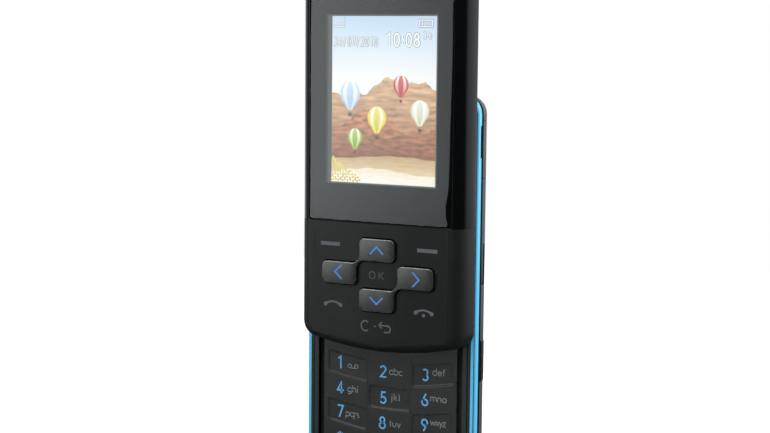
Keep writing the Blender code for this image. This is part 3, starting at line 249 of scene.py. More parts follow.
# %% [markdown]
# Every finish starts the same way: a material with one Principled shader, and the place on the piece in
# metres, because pattern sizes are worked out from real sizes. The other helpers are for what surfaces have
# in common: soft blotches, edges that hands and pockets rub, the fine grain and softened corners of a
# moulding, metal flakes, and reflections that are duller in places.


# %% Finish helpers
flake_size = 0.12 * mm  # real flakes are a tenth of that and would not show


def finish(name, inputs=None):
    """A new material, with its node tree, its shader and the place on the piece. inputs are set on the shader."""
    material = bpy.data.materials.new(name)
    material.use_nodes = True
    tree = material.node_tree
    shader = tree.nodes["Principled BSDF"]
    for socket, value in (inputs or {}).items():
        shader.inputs[socket].default_value = value
    return material, tree, shader, node(tree, "ShaderNodeTexCoord").outputs["Object"]


def blotches(tree, where, size, low, high, detail=2.0):
    """A value that wanders between low and high in blotches of a size in metres."""
    cloud = node(tree, "ShaderNodeTexNoise", {"Vector": where, "Scale": 1 / size, "Detail": detail})
    return spread(tree, cloud.outputs["Fac"], 0.3, 0.7, low, high)


def rubbed_edges(tree, where, width, patch):
    """1 where an edge is rubbed and 0 on flat faces, broken into patches."""
    softened = node(tree, "ShaderNodeBevel", {"Radius": width}, samples=4).outputs[0]
    straight = node(tree, "ShaderNodeNewGeometry").outputs["Normal"]
    likeness = node(tree, "ShaderNodeVectorMath", {0: softened, 1: straight}, operation="DOT_PRODUCT")
    edge = spread(tree, likeness.outputs["Value"], 0.99, 0.86)
    return calc(tree, "MULTIPLY", edge, blotches(tree, where, patch, 0.1, 1.0))


def grain(tree, shader, where, size, depth, corner):
    """Fine bumps of a size and depth in metres, on corners softened by a radius."""
    bumps = node(tree, "ShaderNodeTexNoise", {"Vector": where, "Scale": 1 / size, "Detail": 3.0})
    softened = node(tree, "ShaderNodeBevel", {"Radius": corner}, samples=4)
    relief = node(tree, "ShaderNodeBump", {
        "Height": bumps.outputs["Fac"], "Distance": depth, "Strength": 1.0, "Normal": softened.outputs[0],
    })
    tree.links.new(relief.outputs[0], shader.inputs["Normal"])


def flakes(tree, where, most, base, bright):
    """The colour of a paint with metal flakes, which are brighter than its base."""
    cells = node(tree, "ShaderNodeTexVoronoi", {"Vector": where, "Scale": 1 / flake_size})
    return mixed(tree, spread(tree, cells.outputs["Distance"], 0.0, 0.8, 0.0, most), base, bright)


def tint(tree, shader, share, base, rubbed):
    """The colour goes from base to rubbed as share goes from 0 to 1."""
    tree.links.new(mixed(tree, share, base, rubbed), shader.inputs["Base Color"])


def dull(tree, shader, share, dullest):
    """The reflection goes from full to a dull grey as share goes from 0 to 1."""
    tree.links.new(mixed(tree, share, "#ffffff", dullest), shader.inputs["Specular Tint"])


def polish(tree, shader, where, size, low, high, detail=2.0):
    """The roughness wanders between low and high in blotches of a size."""
    tree.links.new(blotches(tree, where, size, low, high, detail), shader.inputs["Roughness"])


def masked_polish(tree, shader, where, size, low, high, share, masked):
    """The roughness wanders as in polish, and is another one where share is 1."""
    rough = between(tree, share, blotches(tree, where, size, low, high), masked)
    tree.links.new(rough, shader.inputs["Roughness"])


def mottled(name, base, other, size, low, high, patch, most=1.0, detail=2.0, inputs=None):
    """A finish mottled between two colours in blotches of a size, with a roughness that wanders in patches."""
    material, tree, shader, where = finish(name, inputs)
    tint(tree, shader, blotches(tree, where, size, 0.0, most, detail), base, other)
    polish(tree, shader, where, patch, low, high)
    return material, tree, shader, where


def painted_panel_reflection(tree, shader, sideways, share):
    """A painted reflection: the lower panel's reflection is dulled from its left to its right, wherever share is 1.
    """
    dull(tree, shader, calc(tree, "MULTIPLY", spread(tree, sideways, -8 * mm, 10 * mm), share), "#cacaca")


finishes, finishes_by_node = {}, {}
print("helpers ready")

# %% [markdown]
# The case halves of the slider are ABS with a sprayed lacquer. Below the window the lacquer is matt and
# slightly rubbery, and beside the window it is polished. Two materials would need the moulding cut in two,
# so one material changes its gloss at the height where the masking tape lay.

# %% Lacquered ABS
window_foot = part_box("display_window")[0].z
tape_edge = window_foot - 0.15 * mm
panel_half_width, curve_start, curve_end = 18.4 * mm, 19.1 * mm, 20.3 * mm
lacquer, tree, shader, where = finish("sprayed_lacquer_on_abs", {"Specular IOR Level": 0.36})
# matt lacquer shows as a soft grey sheen, polished lacquer as black with a clear reflection
height, sideways = along(tree, where, "Z"), along(tree, where, "X")
polished = spread(tree, height, tape_edge, window_foot)
by_height = mixed(tree, polished, "#131514", "#060708")
tint(tree, shader, rubbed_edges(tree, where, 0.25 * mm, 3 * mm), by_height, "#2a2c2d")
masked_polish(tree, shader, where, 7 * mm, 0.45, 0.53, polished, 0.09)
grain(tree, shader, where, 0.16 * mm, 0.0012 * mm, 0.15 * mm)
# the lacquer is sprayed over panel and keys alike, so the openings for the flush keys keep crisp corners
across = calc(tree, "ABSOLUTE", sideways)
keyed = calc(tree, "LESS_THAN", across, panel_half_width)
crisp = spread(tree, keyed, 0.0, 1.0, 0.15 * mm, 0.005 * mm)
for corner in [made for made in tree.nodes if made.bl_idname == "ShaderNodeBevel"]:
    tree.links.new(crisp, corner.inputs["Radius"])
# painted reflection: the flat panel's reflection is dulled from its left to its right, in place of the light that
# falls off across it
below = calc(tree, "LESS_THAN", height, tape_edge)
painted_panel_reflection(tree, shader, sideways, calc(tree, "MULTIPLY", spread(tree, across, curve_end, curve_start), below))
finishes["soft_touch_black"] = lacquer
print("polished above", round(window_foot / mm, 2), "mm")

rail_lacquer, tree, shader, where = finish("satin_lacquer_on_keypad_shell", {"Specular IOR Level": 0.4})
finishes_by_node["base_front_case"] = rail_lacquer
# a lighter satin coat on the front; painted shade darkens and dulls a fine line along each side rail, where a groove
# lies in shade, and the strip beyond the rail and the walls behind its front, where the opening lies in shade
groove_line_across, groove_line_half, rail_edge, shade_depth = 22.5 * mm, 0.13 * mm, 23.2 * mm, 0.2 * mm
trim_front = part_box("trim_ring")[0].y
across = calc(tree, "ABSOLUTE", along(tree, where, "X", nodes["base_front_case"].location))
depth = along(tree, where, "Y", nodes["base_front_case"].location)
# painted shade: 1 on the groove line, on the strip beyond the rail and on the walls of the opening
painted_rail_shade = calc(tree, "COMPARE", across, groove_line_across, groove_line_half)
for place, limit in ((across, rail_edge), (depth, trim_front + shade_depth)):
    painted_rail_shade = calc(tree, "MAXIMUM", painted_rail_shade, calc(tree, "GREATER_THAN", place, limit))
tint(tree, shader, painted_rail_shade, "#2c3031", "#060707")
masked_polish(tree, shader, where, 6 * mm, 0.32, 0.4, painted_rail_shade, 0.85)
dull(tree, shader, painted_rail_shade, "#404040")
grain(tree, shader, where, 0.16 * mm, 0.0012 * mm, 0.45 * mm)

# %% [markdown]
# The keys that lie flush in the lower panel are sprayed with the same matt lacquer, so only their printed
# marks and thin gaps give them away. The four-way keys are different: a grey pearl paint over a moulding.

# %% Key tops of the slider
# as the panel around them, a little smoother where thumbs press
key_lacquer, tree, shader, where = mottled(
    "matt_lacquer_on_key_tops", "#131514", "#141615", 4 * mm, 0.45, 0.53, 5 * mm,
    inputs={"Specular IOR Level": 0.36})
grain(tree, shader, where, 0.16 * mm, 0.0012 * mm, 0.005 * mm)
key_origin = node(tree, "ShaderNodeObjectInfo").outputs["Location"]
# painted reflection: the key tops are dulled from left to right, like the panel around them
painted_panel_reflection(tree, shader, along(tree, where, "X", key_origin), 1.0)
finishes["function_key_black"] = key_lacquer

# each four-way key is a pair of pillows, so the paint shows a highlight along the top and fades downwards
pad_middle_up, pad_step_across, pad_step_up = 55.0 * mm, 11.0 * mm, 6.4 * mm
pillow_half_width, pillow_half_height, pillow_rise, crown_share = 5.0 * mm, 2.8 * mm, 0.2 * mm, 0.3
for name, middle_side in (("nav_key_up_left", 1), ("nav_key_right_down", -1)):
    pearl, tree, shader, where = finish("grey_pearl_paint_" + name, {"Metallic": 0.8})
    # mica flakes in the paint give it a metallic grey
    pearl_grey = flakes(tree, where, 0.5, "#484847", "#5f605f")
    tint(tree, shader, rubbed_edges(tree, where, 0.35 * mm, 2 * mm), pearl_grey, "#9b9d9b")
    polish(tree, shader, where, 2 * mm, 0.26, 0.34)
    across = calc(tree, "ABSOLUTE", along(tree, where, "X", nodes[name].location))
    outer = calc(tree, "GREATER_THAN", across, pad_step_across / 2)
    from_side = calc(tree, "MULTIPLY_ADD", outer, -pad_step_across, across)
    step_up = middle_side * pad_step_up
    middle = calc(tree, "MULTIPLY_ADD", outer, step_up, -pad_middle_up - step_up)
    from_middle = calc(tree, "ADD", along(tree, where, "Z", nodes[name].location), middle)
    squares = []
    for offset, half in ((from_side, pillow_half_width), (from_middle, pillow_half_height)):
        share = calc(tree, "DIVIDE", offset, half)
        squares.append(calc(tree, "MULTIPLY", share, share))
    # the crown is gentle up and down, and rolls off at the sides
    side_drop = calc(tree, "MULTIPLY", squares[0], squares[0])
    drop = calc(tree, "MULTIPLY_ADD", squares[1], crown_share, side_drop)
    softened = node(tree, "ShaderNodeBevel", {"Radius": 0.35 * mm}, samples=6)
    pillow = node(tree, "ShaderNodeBump", {
        "Height": drop, "Distance": pillow_rise, "Strength": 1.0, "Normal": softened.outputs[0],
    }, invert=True)
    tree.links.new(pillow.outputs[0], shader.inputs["Normal"])
    finishes_by_node[name] = pearl
finishes["nav_key_grey"] = pearl
print("pearl and key lacquer")

# %% [markdown]
# The number keys are one satin film bonded over plungers, which is why the keypad reads as a single sheet
# with shallow pockets. The film is polycarbonate, screen printed on its face.

# %% Keypad film
# a fine satin emboss gives the sheet a soft, even sheen
film, tree, shader, where = mottled(
    "satin_polycarbonate_film", "#2e3030", "#313333", 9 * mm, 0.26, 0.33, 6 * mm)
# painted shade: the reflection on the upward-facing slopes of the pockets is dulled, which tones down the highlight
# they catch from above
facing_up = along(tree, node(tree, "ShaderNodeNewGeometry").outputs["Normal"], "Z")
dull(tree, shader, spread(tree, facing_up, 0.15, 0.4), "#787878")
grain(tree, shader, where, 0.14 * mm, 0.0015 * mm, 0.06 * mm)
finishes["keypad_black"] = film

# silicone is dull and picks up dust
finishes["rubber_black"] = mottled(
    "moulded_silicone_rubber", "#101010", "#222222", 1.2 * mm, 0.68, 0.85, 3 * mm, most=0.5, detail=5.0)[0]
print("film and rubber")

# %% [markdown]
# A bright band runs round the joint between the two case shells of the keypad half. It is a separate
# moulding, sprayed with a blue metallic lacquer under a clear coat.

# %% Blue trim
trim, tree, shader, where = finish(
    "blue_metallic_lacquer", {"Metallic": 0.1, "Coat Weight": 0.3, "Coat Roughness": 0.12})
# flakes under clear lacquer are bright in the light; the groove and the front lip beside the slider get a painted
# shade, a deep blue with a dulled reflection
depth = along(tree, where, "Y", nodes["trim_ring"].location)
groove_middle, groove_half = trim_front + 0.36 * mm, 0.34 * mm
painted_groove_shade = calc(tree, "COMPARE", depth, groove_middle, groove_half)
tint(tree, shader, painted_groove_shade, flakes(tree, where, 0.6, "#50bdf2", "#72d4f8"), "#052f55")
dull(tree, shader, painted_groove_shade, "#303030")
polish(tree, shader, where, 4 * mm, 0.28, 0.38)
grain(tree, shader, where, 0.25 * mm, 0.0008 * mm, 0.12 * mm)
finishes["blue_trim"] = trim
print("trim")

# %% [markdown]
# The back shell, the battery cover and the port cover are moulded in one grey plastic with a spark-eroded
# grain. The grain hides scratches and gives the side of the phone its even, dull grey.

# %% Moulded shells and side keys
shell, tree, shader, where = finish("grained_grey_polycarbonate")
# spark erosion leaves pits of about a tenth of a millimetre, and the joint beside the trim lies in shade
shell_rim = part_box("rear_case")[0].y
depth = along(tree, where, "Y", nodes["rear_case"].location)
shaded = spread(tree, depth, shell_rim + 0.75 * mm, shell_rim + 0.65 * mm)
worn = mixed(tree, rubbed_edges(tree, where, 0.3 * mm, 3 * mm), "#3d3f40", "#505253")
tint(tree, shader, shaded, worn, "#0c0d0e")
masked_polish(tree, shader, where, 9 * mm, 0.45, 0.56, shaded, 0.95)
dull(tree, shader, shaded, "#202020")
grain(tree, shader, where, 0.13 * mm, 0.006 * mm, 0.15 * mm)
finishes["rear_case_grey"] = shell

# a finer grain than the back shell, with light scuffs from the sliding
finishes["slider_back_black"], tree, shader, where = mottled(
    "fine_grained_black_abs", "#1a1b1c", "#2a2b2c", 2.5 * mm, 0.4, 0.52, 6 * mm, most=0.35, detail=6.0)
grain(tree, shader, where, 0.1 * mm, 0.003 * mm, 0.12 * mm)

# satin moulded tops, shinier where fingers rub
finishes["side_key_black"], tree, shader, where = finish("satin_black_side_key_abs")
tint(tree, shader, rubbed_edges(tree, where, 0.2 * mm, 1.5 * mm), "#222324", "#454647")
polish(tree, shader, where, 3 * mm, 0.32, 0.44)
grain(tree, shader, where, 0.12 * mm, 0.002 * mm, 0.2 * mm)
print("shells and side keys")

# %% [markdown]
# What the phone holds inside is only seen when a cover is open or from a low angle, yet each piece still
# gets its own material: stainless sheet, screws, circuit board, film cable, battery wrap and dark plastic.

# %% Inner materials
# rolling leaves fine lines along the sheet
finishes["sheet_steel"], tree, shader, where = finish("rolled_stainless_sheet", {"Metallic": 1.0})
stretched = node(tree, "ShaderNodeMapping", {"Vector": where, "Scale": (1.0, 1.0, 0.04)})
polish(tree, shader, stretched.outputs[0], 0.12 * mm, 0.24, 0.42, 4.0)
tint(tree, shader, blotches(tree, where, 4 * mm, 0.0, 1.0), "#b4b5b1", "#c4c4bf")

# oxide black, worn bright on the edges of the recess
finishes["screw_steel"], tree, shader, where = finish("blackened_steel_screw", {"Metallic": 1.0})
tint(tree, shader, rubbed_edges(tree, where, 0.1 * mm, 0.5 * mm), "#38383a", "#8b8b8c")
polish(tree, shader, where, 0.6 * mm, 0.3, 0.45)

# solder lacquer, a lighter green over the copper tracks
finishes["circuit_board"], tree, shader, where = finish("green_lacquered_circuit_board")
tracks = node(tree, "ShaderNodeTexBrick", {
    "Vector": node(tree, "ShaderNodeMapping", {"Vector": where, "Rotation": (math.radians(90), 0, 0)}).outputs[0],
    "Scale": 1 / (1.6 * mm), "Mortar Size": 0.12, "Mortar Smooth": 0.2,
    "Color1": linear("#0c4528"), "Color2": linear("#0f5230"), "Mortar": linear("#1d6e44"),
})
tree.links.new(tracks.outputs["Color"], shader.inputs["Base Color"])
polish(tree, shader, where, 3 * mm, 0.28, 0.42)

# flat copper tracks show through the amber film as darker lines
finishes["amber_film"], tree, shader, where = finish("amber_polyimide_film")
lines = node(tree, "ShaderNodeTexWave", {"Vector": where, "Scale": 1 / (0.8 * mm) / 20}, bands_direction="X")
tint(tree, shader, lines.outputs["Fac"], "#9a6718", "#6d430d")
polish(tree, shader, where, 2 * mm, 0.2, 0.32)

# a dark glossy disc lies over the camera
finishes["camera_glass"] = mottled(
    "dark_tinted_acrylic", "#08090b", "#101216", 3 * mm, 0.04, 0.1, 2 * mm, inputs={"IOR": 1.49})[0]

# etched sheet darkened to hide behind its slot, silver grey wrap with a faint weave from the roller, plain
# moulded nylon, and the unlit margin of the display around the picture
finishes["grille_metal"] = mottled(
    "punched_dark_steel", "#383a3b", "#4a4c4d", 0.4 * mm, 0.3, 0.42, 0.3 * mm, inputs={"Metallic": 1.0})[0]
finishes["battery_wrap"] = mottled(
    "printed_battery_wrap", "#7a7d7f", "#8b8e90", 1.0 * mm, 0.38, 0.52, 5 * mm, detail=5.0)[0]
finishes["dark_plastic"] = mottled(
    "dark_moulded_inner_plastic", "#232425", "#303132", 1.5 * mm, 0.45, 0.6, 3 * mm, detail=4.0)[0]
finishes["display_panel"] = mottled(
    "display_glass_frame", "#131518", "#1b1e22", 3 * mm, 0.12, 0.2, 4 * mm)[0]
print(len(finishes), "finishes")

# %% [markdown]
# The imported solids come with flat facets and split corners. A small geometry nodes group joins the corners
# again and smooths every edge that turns by less than a limit, and weighted normals keep the large flats
# straight up to their rounded rims. Both change how the faces are shaded and leave the shape alone, which a
# subdivision would not.

# %% Smooth shading for the solids
smooth_limit = math.radians(32)
smoothing = bpy.data.node_groups.new("smooth_moulding", "GeometryNodeTree")
for end in ("INPUT", "OUTPUT"):
    smoothing.interface.new_socket("Geometry", in_out=end, socket_type="NodeSocketGeometry")
start = node(smoothing, "NodeGroupInput")
joined = node(smoothing, "GeometryNodeMergeByDistance", {"Geometry": start.outputs[0], "Distance": 0.001 * mm})
turn = node(smoothing, "GeometryNodeInputMeshEdgeAngle")
sharp = node(smoothing, "FunctionNodeCompare", {0: turn.outputs[0], 1: smooth_limit}, operation="GREATER_THAN")
shaded = node(smoothing, "GeometryNodeSetMeshNormal", {
    "Mesh": joined.outputs[0], "Remove Custom": True, "Edge Sharpness": sharp.outputs[0], "Face Sharpness": False,
}, mode="SHARPNESS")
node(smoothing, "NodeGroupOutput", {0: shaded.outputs[0]})

for part in frame["record"]["subparts"]:
    solid = nodes[part["node"]]
    slot = part["material_slot"]
    for place in solid.material_slots:
        place.material = finishes_by_node.get(part["node"], finishes.get(slot, lacquer))
    solid.modifiers.new("smooth_moulding", "NODES").node_group = smoothing
    flats = solid.modifiers.new("straight_flats", "WEIGHTED_NORMAL")
    flats.keep_sharp = True

# %% [markdown]
# Thin pieces are cut from sheet, printed or punched, so two helpers are enough for all of them: one gives the
# points of a rounded outline, and one makes a plate from an outline and the holes in it.


# %% Flat pieces
def rounded(left, right, low, high, low_corner, high_corner=None, top_bow=0.0, steps=8, side_steps=0):
    """Points round a rounded rectangle seen from the front, anticlockwise. top_bow drops the top's sides."""
    points, top_steps, high_corner = [], 12, high_corner or low_corner
    corners = (
        (right - low_corner, low + low_corner, low_corner, -90),
        (right - high_corner, high - high_corner, high_corner, 0),
        (left + high_corner, high - high_corner, high_corner, 90),
        (left + low_corner, low + low_corner, low_corner, 180),
    )
    for across, up, radius, first in corners:
        for step in range(steps + 1):
            angle = math.radians(first + 90 * step / steps)
            points.append((across + radius * math.cos(angle), up + radius * math.sin(angle)))
        if first == 0:
            span = right - left - 2 * high_corner
            points += [(right - high_corner - span * step / top_steps, high) for step in range(1, top_steps)]
        elif side_steps and first in (-90, 90):
            start, stop = (low + low_corner, high - high_corner)[::1 if first < 0 else -1]
            points += [
                (right if first < 0 else left, start + (stop - start) * step / side_steps)
                for step in range(1, side_steps)
            ]
    middle, half = (left + right) / 2, (right - left) / 2
    return [(x, z - top_bow * ((x - middle) / half) ** 2 * (z > (low + high) / 2)) for x, z in points]


def add_piece(name, mesh, material, body):
    """Puts a mesh in the scene with its finish, and lets it ride on a body."""
    piece = add_object(name, mesh)
    mesh.materials.append(material)
    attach(piece, body)
    return piece


def flat_piece(name, outlines, front, back, material, body):
    """A plate between two Y values, from an outline and the holes in it, that rides on a body."""
    drawn = bpy.data.curves.new(name, "CURVE")
    drawn.dimensions, drawn.fill_mode = "2D", "BOTH"
    drawn.extrude = (back - front) / 2
    for points in outlines:
        spline = drawn.splines.new("POLY")
        spline.points.add(len(points) - 1)
        spline.points.foreach_set("co", [value for x, z in points for value in (x, z, 0.0, 1.0)])
        spline.use_cyclic_u = True
    curve = bpy.data.objects.new(name, drawn)
    mesh = bpy.data.meshes.new_from_object(curve)
    bpy.data.objects.remove(curve)
    for corner in mesh.vertices:
        corner.co = (corner.co.x, (front + back) / 2 - corner.co.z, corner.co.y)
    return add_piece(name, mesh, material, body)


print("flat pieces are drawn as filled curves")

# %% [markdown]
# The window is one moulding of clear acrylic with black ink on its back, all round the view. From the front it
# looks like a black mirror with a picture in it. It is built as that: a clear pane with a polished rim, and
# the ink as a thin layer inside it. A black plate with a hole would look the same from one side only.

# %% Window
window_low, window_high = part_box("display_window")
pane_corner_low, pane_corner_high, pane_bow = 0.7 * mm, 2.6 * mm, 0.71 * mm
pane_half_width, foot_groove, left_groove = window_high.x, 0.3 * mm, 0.3 * mm
flat_half_width, rim_bend_width, rim_bend_depth = 19.65 * mm, 4.6 * mm, 5.6 * mm
sag_up, sag_spread, sag_depth = 73.0 * mm, 2.6 * mm, 0.75 * mm
narrow_rim_start, widening_rate, widening_foot = 0.985, 0.016, 79.6 * mm


def rim_share(across, up):
    """How far out the flat part of the pane reaches. On the right it narrows where the moulding sags."""
    widening = widening_rate * (up - widening_foot)
    sag = sag_depth * math.exp(-((up - sag_up) / sag_spread) ** 2)
    right_share = min(narrow_rim_start, (flat_half_width + widening - sag) / pane_half_width)
    return right_share if across > 0 else narrow_rim_start


pane_outline = rounded(
    left_groove - pane_half_width, pane_half_width, window_low.z + foot_groove, window_high.z, pane_corner_low,
    pane_corner_high, pane_bow, side_steps=24,
)
middle_up, half_up = (window_low.z + window_high.z) / 2, (window_high.z - window_low.z) / 2
rings = []
for share in (-0.1, 0.0, 0.25, 0.5, 0.75, 1.0):
    ring = []
    for x, z in pane_outline:
        flat = rim_share(x, z)
        scale, scale_up = flat + (1 - flat) * share, 1 - 0.1 * mm * (1 - share) / half_up
        # the rim bends back along the sides only
        bend = max(0.0, share) * (1 - flat) * pane_half_width * min(1.0, abs(x) / flat_half_width) ** 8
        drop = rim_bend_depth * (1 - math.sqrt(1 - (bend / rim_bend_width) ** 2))
        ring.append((x * scale, window_low.y + drop, middle_up + (z - middle_up) * scale_up))
    rings.append(ring)
rings.append([(x, window_high.y, z) for x, y, z in rings[-1]])
shape = bmesh.new()
loft(shape, rings)
bmesh.ops.recalc_face_normals(shape, faces=shape.faces)
pane_mesh = mesh_of(shape, "window_clear_pane")

# clear with a faint cool tint, and a polish that waves very slightly, as moulded acrylic does
clear, tree, shader, where = finish(
    "clear_polished_acrylic", {"Base Color": linear("#f4f7f8"), "IOR": 1.49, "Transmission Weight": 1.0})
polish(tree, shader, where, 11 * mm, 0.0, 0.02, 3.0)
pane = add_piece("window_clear_pane", pane_mesh, clear, "slider")
pane.modifiers.new("smooth_moulding", "NODES").node_group = smoothing
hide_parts("display_window")

view_half_width, view_low, view_high, view_corner = 15.92 * mm, 77.75 * mm, 120.42 * mm, 0.4 * mm
slot_half_width, slot_height, slot_up, ink_edge = 4.8 * mm, 1.3 * mm, 125.55 * mm, 0.04 * mm
view_outline = rounded(-view_half_width, view_half_width, view_low, view_high, view_corner)
slot_outline = rounded(
    -slot_half_width, slot_half_width, slot_up - slot_height / 2, slot_up + slot_height / 2,
    slot_height / 2 - 0.01 * mm,
)
# two passes of black ink on the back of the acrylic; the ink also reaches past the pane into the groove at its foot
# and left side, where its dark, unreflecting face is a painted shade for the groove
ink = mottled(
    "black_screen_printing_ink", "#090a0b", "#0c0d0e", 0.7 * mm, 0.45, 0.6, 4 * mm, detail=4.0,
    inputs={"Specular IOR Level": 0.0})[0]
flat_piece(
    "window_printed_border", [
        rounded(
            -pane_half_width + ink_edge, pane_half_width - ink_edge, window_low.z + ink_edge,
            window_high.z - ink_edge, pane_corner_low, pane_corner_high, pane_bow,
        ),
        view_outline[::-1], slot_outline[::-1],
    ], window_high.y - 0.06 * mm, window_high.y - 0.01 * mm, ink, "slider",
)
print("window", [round(value / mm, 2) for value in (*window_low, *window_high)])

# %% [markdown]
# Behind the pane sits a grey gasket, a thin frame that keeps dust off the display. Seen from one side it shows
# as a light strip between the black ink and the picture.

# %% Gasket
# smooth grey foam tape, a touch lighter where it was cut
gasket_foam = mottled(
    "grey_display_gasket", "#686b6e", "#727578", 0.5 * mm, 0.5, 0.7, 1.5 * mm, detail=4.0)[0]
picture_left, picture_right, picture_low, picture_high = -14.8 * mm, 15.05 * mm, 78.05 * mm, 120.0 * mm
glass_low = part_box("display_module")[0]
gasket_front, gasket_back, gasket_width = glass_low.y - 0.1 * mm, glass_low.y - 0.01 * mm, 1.4 * mm
gasket_hole = rounded(picture_left, picture_right, picture_low, picture_high, 0.1 * mm)
gasket_edge = rounded(
    picture_left - gasket_width, picture_right + gasket_width, picture_low - gasket_width,
    picture_high + gasket_width, view_corner,
)
flat_piece(
    "display_gasket", [gasket_edge, gasket_hole[::-1]], gasket_front, gasket_back, gasket_foam, "slider",
)
print("gasket", round(gasket_width / mm, 1), "mm wide")

# %% [markdown]
# Marks are drawn the way a plotter draws them: each is a few lines of points with a pen width. One helper
# gives the points of an arc, and one turns lines into thin flat bands of ink with mitred corners. Fonts would
# be quicker, but the keys carry thin, round figures that no built-in font has.


# %% Pen lines
def arc(across, up, radius, first, last, squash=1.0, steps=12):
    """Points along an arc. The angles are in degrees, anticlockwise where last is larger."""
    angles = [math.radians(first + (last - first) * step / steps) for step in range(steps + 1)]
    return [(across + radius * math.cos(angle), up + squash * radius * math.sin(angle)) for angle in angles]


def placed(lines, across, up, size, widening=1.0):
    """Lines drawn in units, moved to a place and scaled to a size in millimetres."""
    return [[(across + x * size * widening, up + z * size) for x, z in line] for line in lines]


def pen_lines(name, lines, pen, face, material, body, rise=0.02):
    """Bands of ink on a face. The lines, the pen and the rise are in millimetres."""
    shape = bmesh.new()
    for line in lines:
        points = [Vector(point) for point in line]
        closed = (points[0] - points[-1]).length < 0.001
        points = points[:-1] if closed else points
        stations = []
        for place, point in enumerate(points):
            steps = []
            if closed or place:
                steps.append((point - points[place - 1]).normalized())
            if closed or place + 1 < len(points):
                steps.append((points[(place + 1) % len(points)] - point).normalized())
            heading = sum(steps, Vector((0, 0))).normalized()
            beside = Vector((-heading.y, heading.x))
            reach = pen / 2 / max(0.5, beside.dot(Vector((-steps[0].y, steps[0].x))))
            stations.append([
                (corner.x * mm, face + depth * mm, corner.y * mm)
                for corner, depth in (
                    (point + beside * reach, -rise), (point - beside * reach, -rise),
                    (point - beside * reach, 0.01), (point + beside * reach, 0.01),
                )
            ])
        loft(shape, stations, closed)
    bmesh.ops.recalc_face_normals(shape, faces=shape.faces)
    return add_piece(name, mesh_of(shape, name), material, body)


figure_lines = {
    "0": [arc(0.30, 0.5, 0.235, 90, 450, 1.9, 24)],
    "1": [[(0.10, 0.76), (0.33, 0.95), (0.33, 0.0)]],
    "2": [arc(0.30, 0.69, 0.225, 165, -35) + [(0.08, 0.08), (0.58, 0.08)]],
    "3": [arc(0.27, 0.715, 0.2, 145, -90), arc(0.27, 0.305, 0.225, 90, -150)],
    "4": [[(0.40, 0.0), (0.40, 0.92), (0.05, 0.25), (0.60, 0.25)]],
    "5": [[(0.52, 0.92), (0.19, 0.92), (0.15, 0.52)] + arc(0.28, 0.32, 0.245, 112, -150)],
    "6": [arc(0.31, 0.30, 0.235, 0, 360, 1.0, 20), [(0.115, 0.41), (0.40, 0.97)]],
    "7": [[(0.06, 0.92), (0.54, 0.92), (0.20, 0.0)]],
    "8": [arc(0.30, 0.73, 0.195, 0, 360, 1.0, 18), arc(0.30, 0.29, 0.235, 0, 360, 1.0, 20)],
    "9": [arc(0.29, 0.68, 0.235, 0, 360, 1.0, 20), [(0.485, 0.57), (0.20, 0.02)]],
    "star": [[(0.30 + 0.26 * math.cos(turn), 0.55 + 0.26 * math.sin(turn)),
              (0.30 - 0.26 * math.cos(turn), 0.55 - 0.26 * math.sin(turn))]
             for turn in (math.radians(angle) for angle in (90, 30, 150))],
    "hash": [[(0.12, 0.10), (0.24, 0.95)], [(0.38, 0.10), (0.50, 0.95)], [(0.0, 0.36), (0.56, 0.36)],
             [(0.04, 0.69), (0.60, 0.69)]],
    ":": [[(0.08, 0.22), (0.08, 0.36)], [(0.08, 0.62), (0.08, 0.76)]],
    "/": [[(0.0, -0.05), (0.36, 1.02)]],
}
print(len(figure_lines), "figures and signs")

# %% [markdown]
# The letters beside the figures are drawn too, in units of the height of a small x. They are thin round
# letters of one pen width, so circles, stems and hooks are all they need.

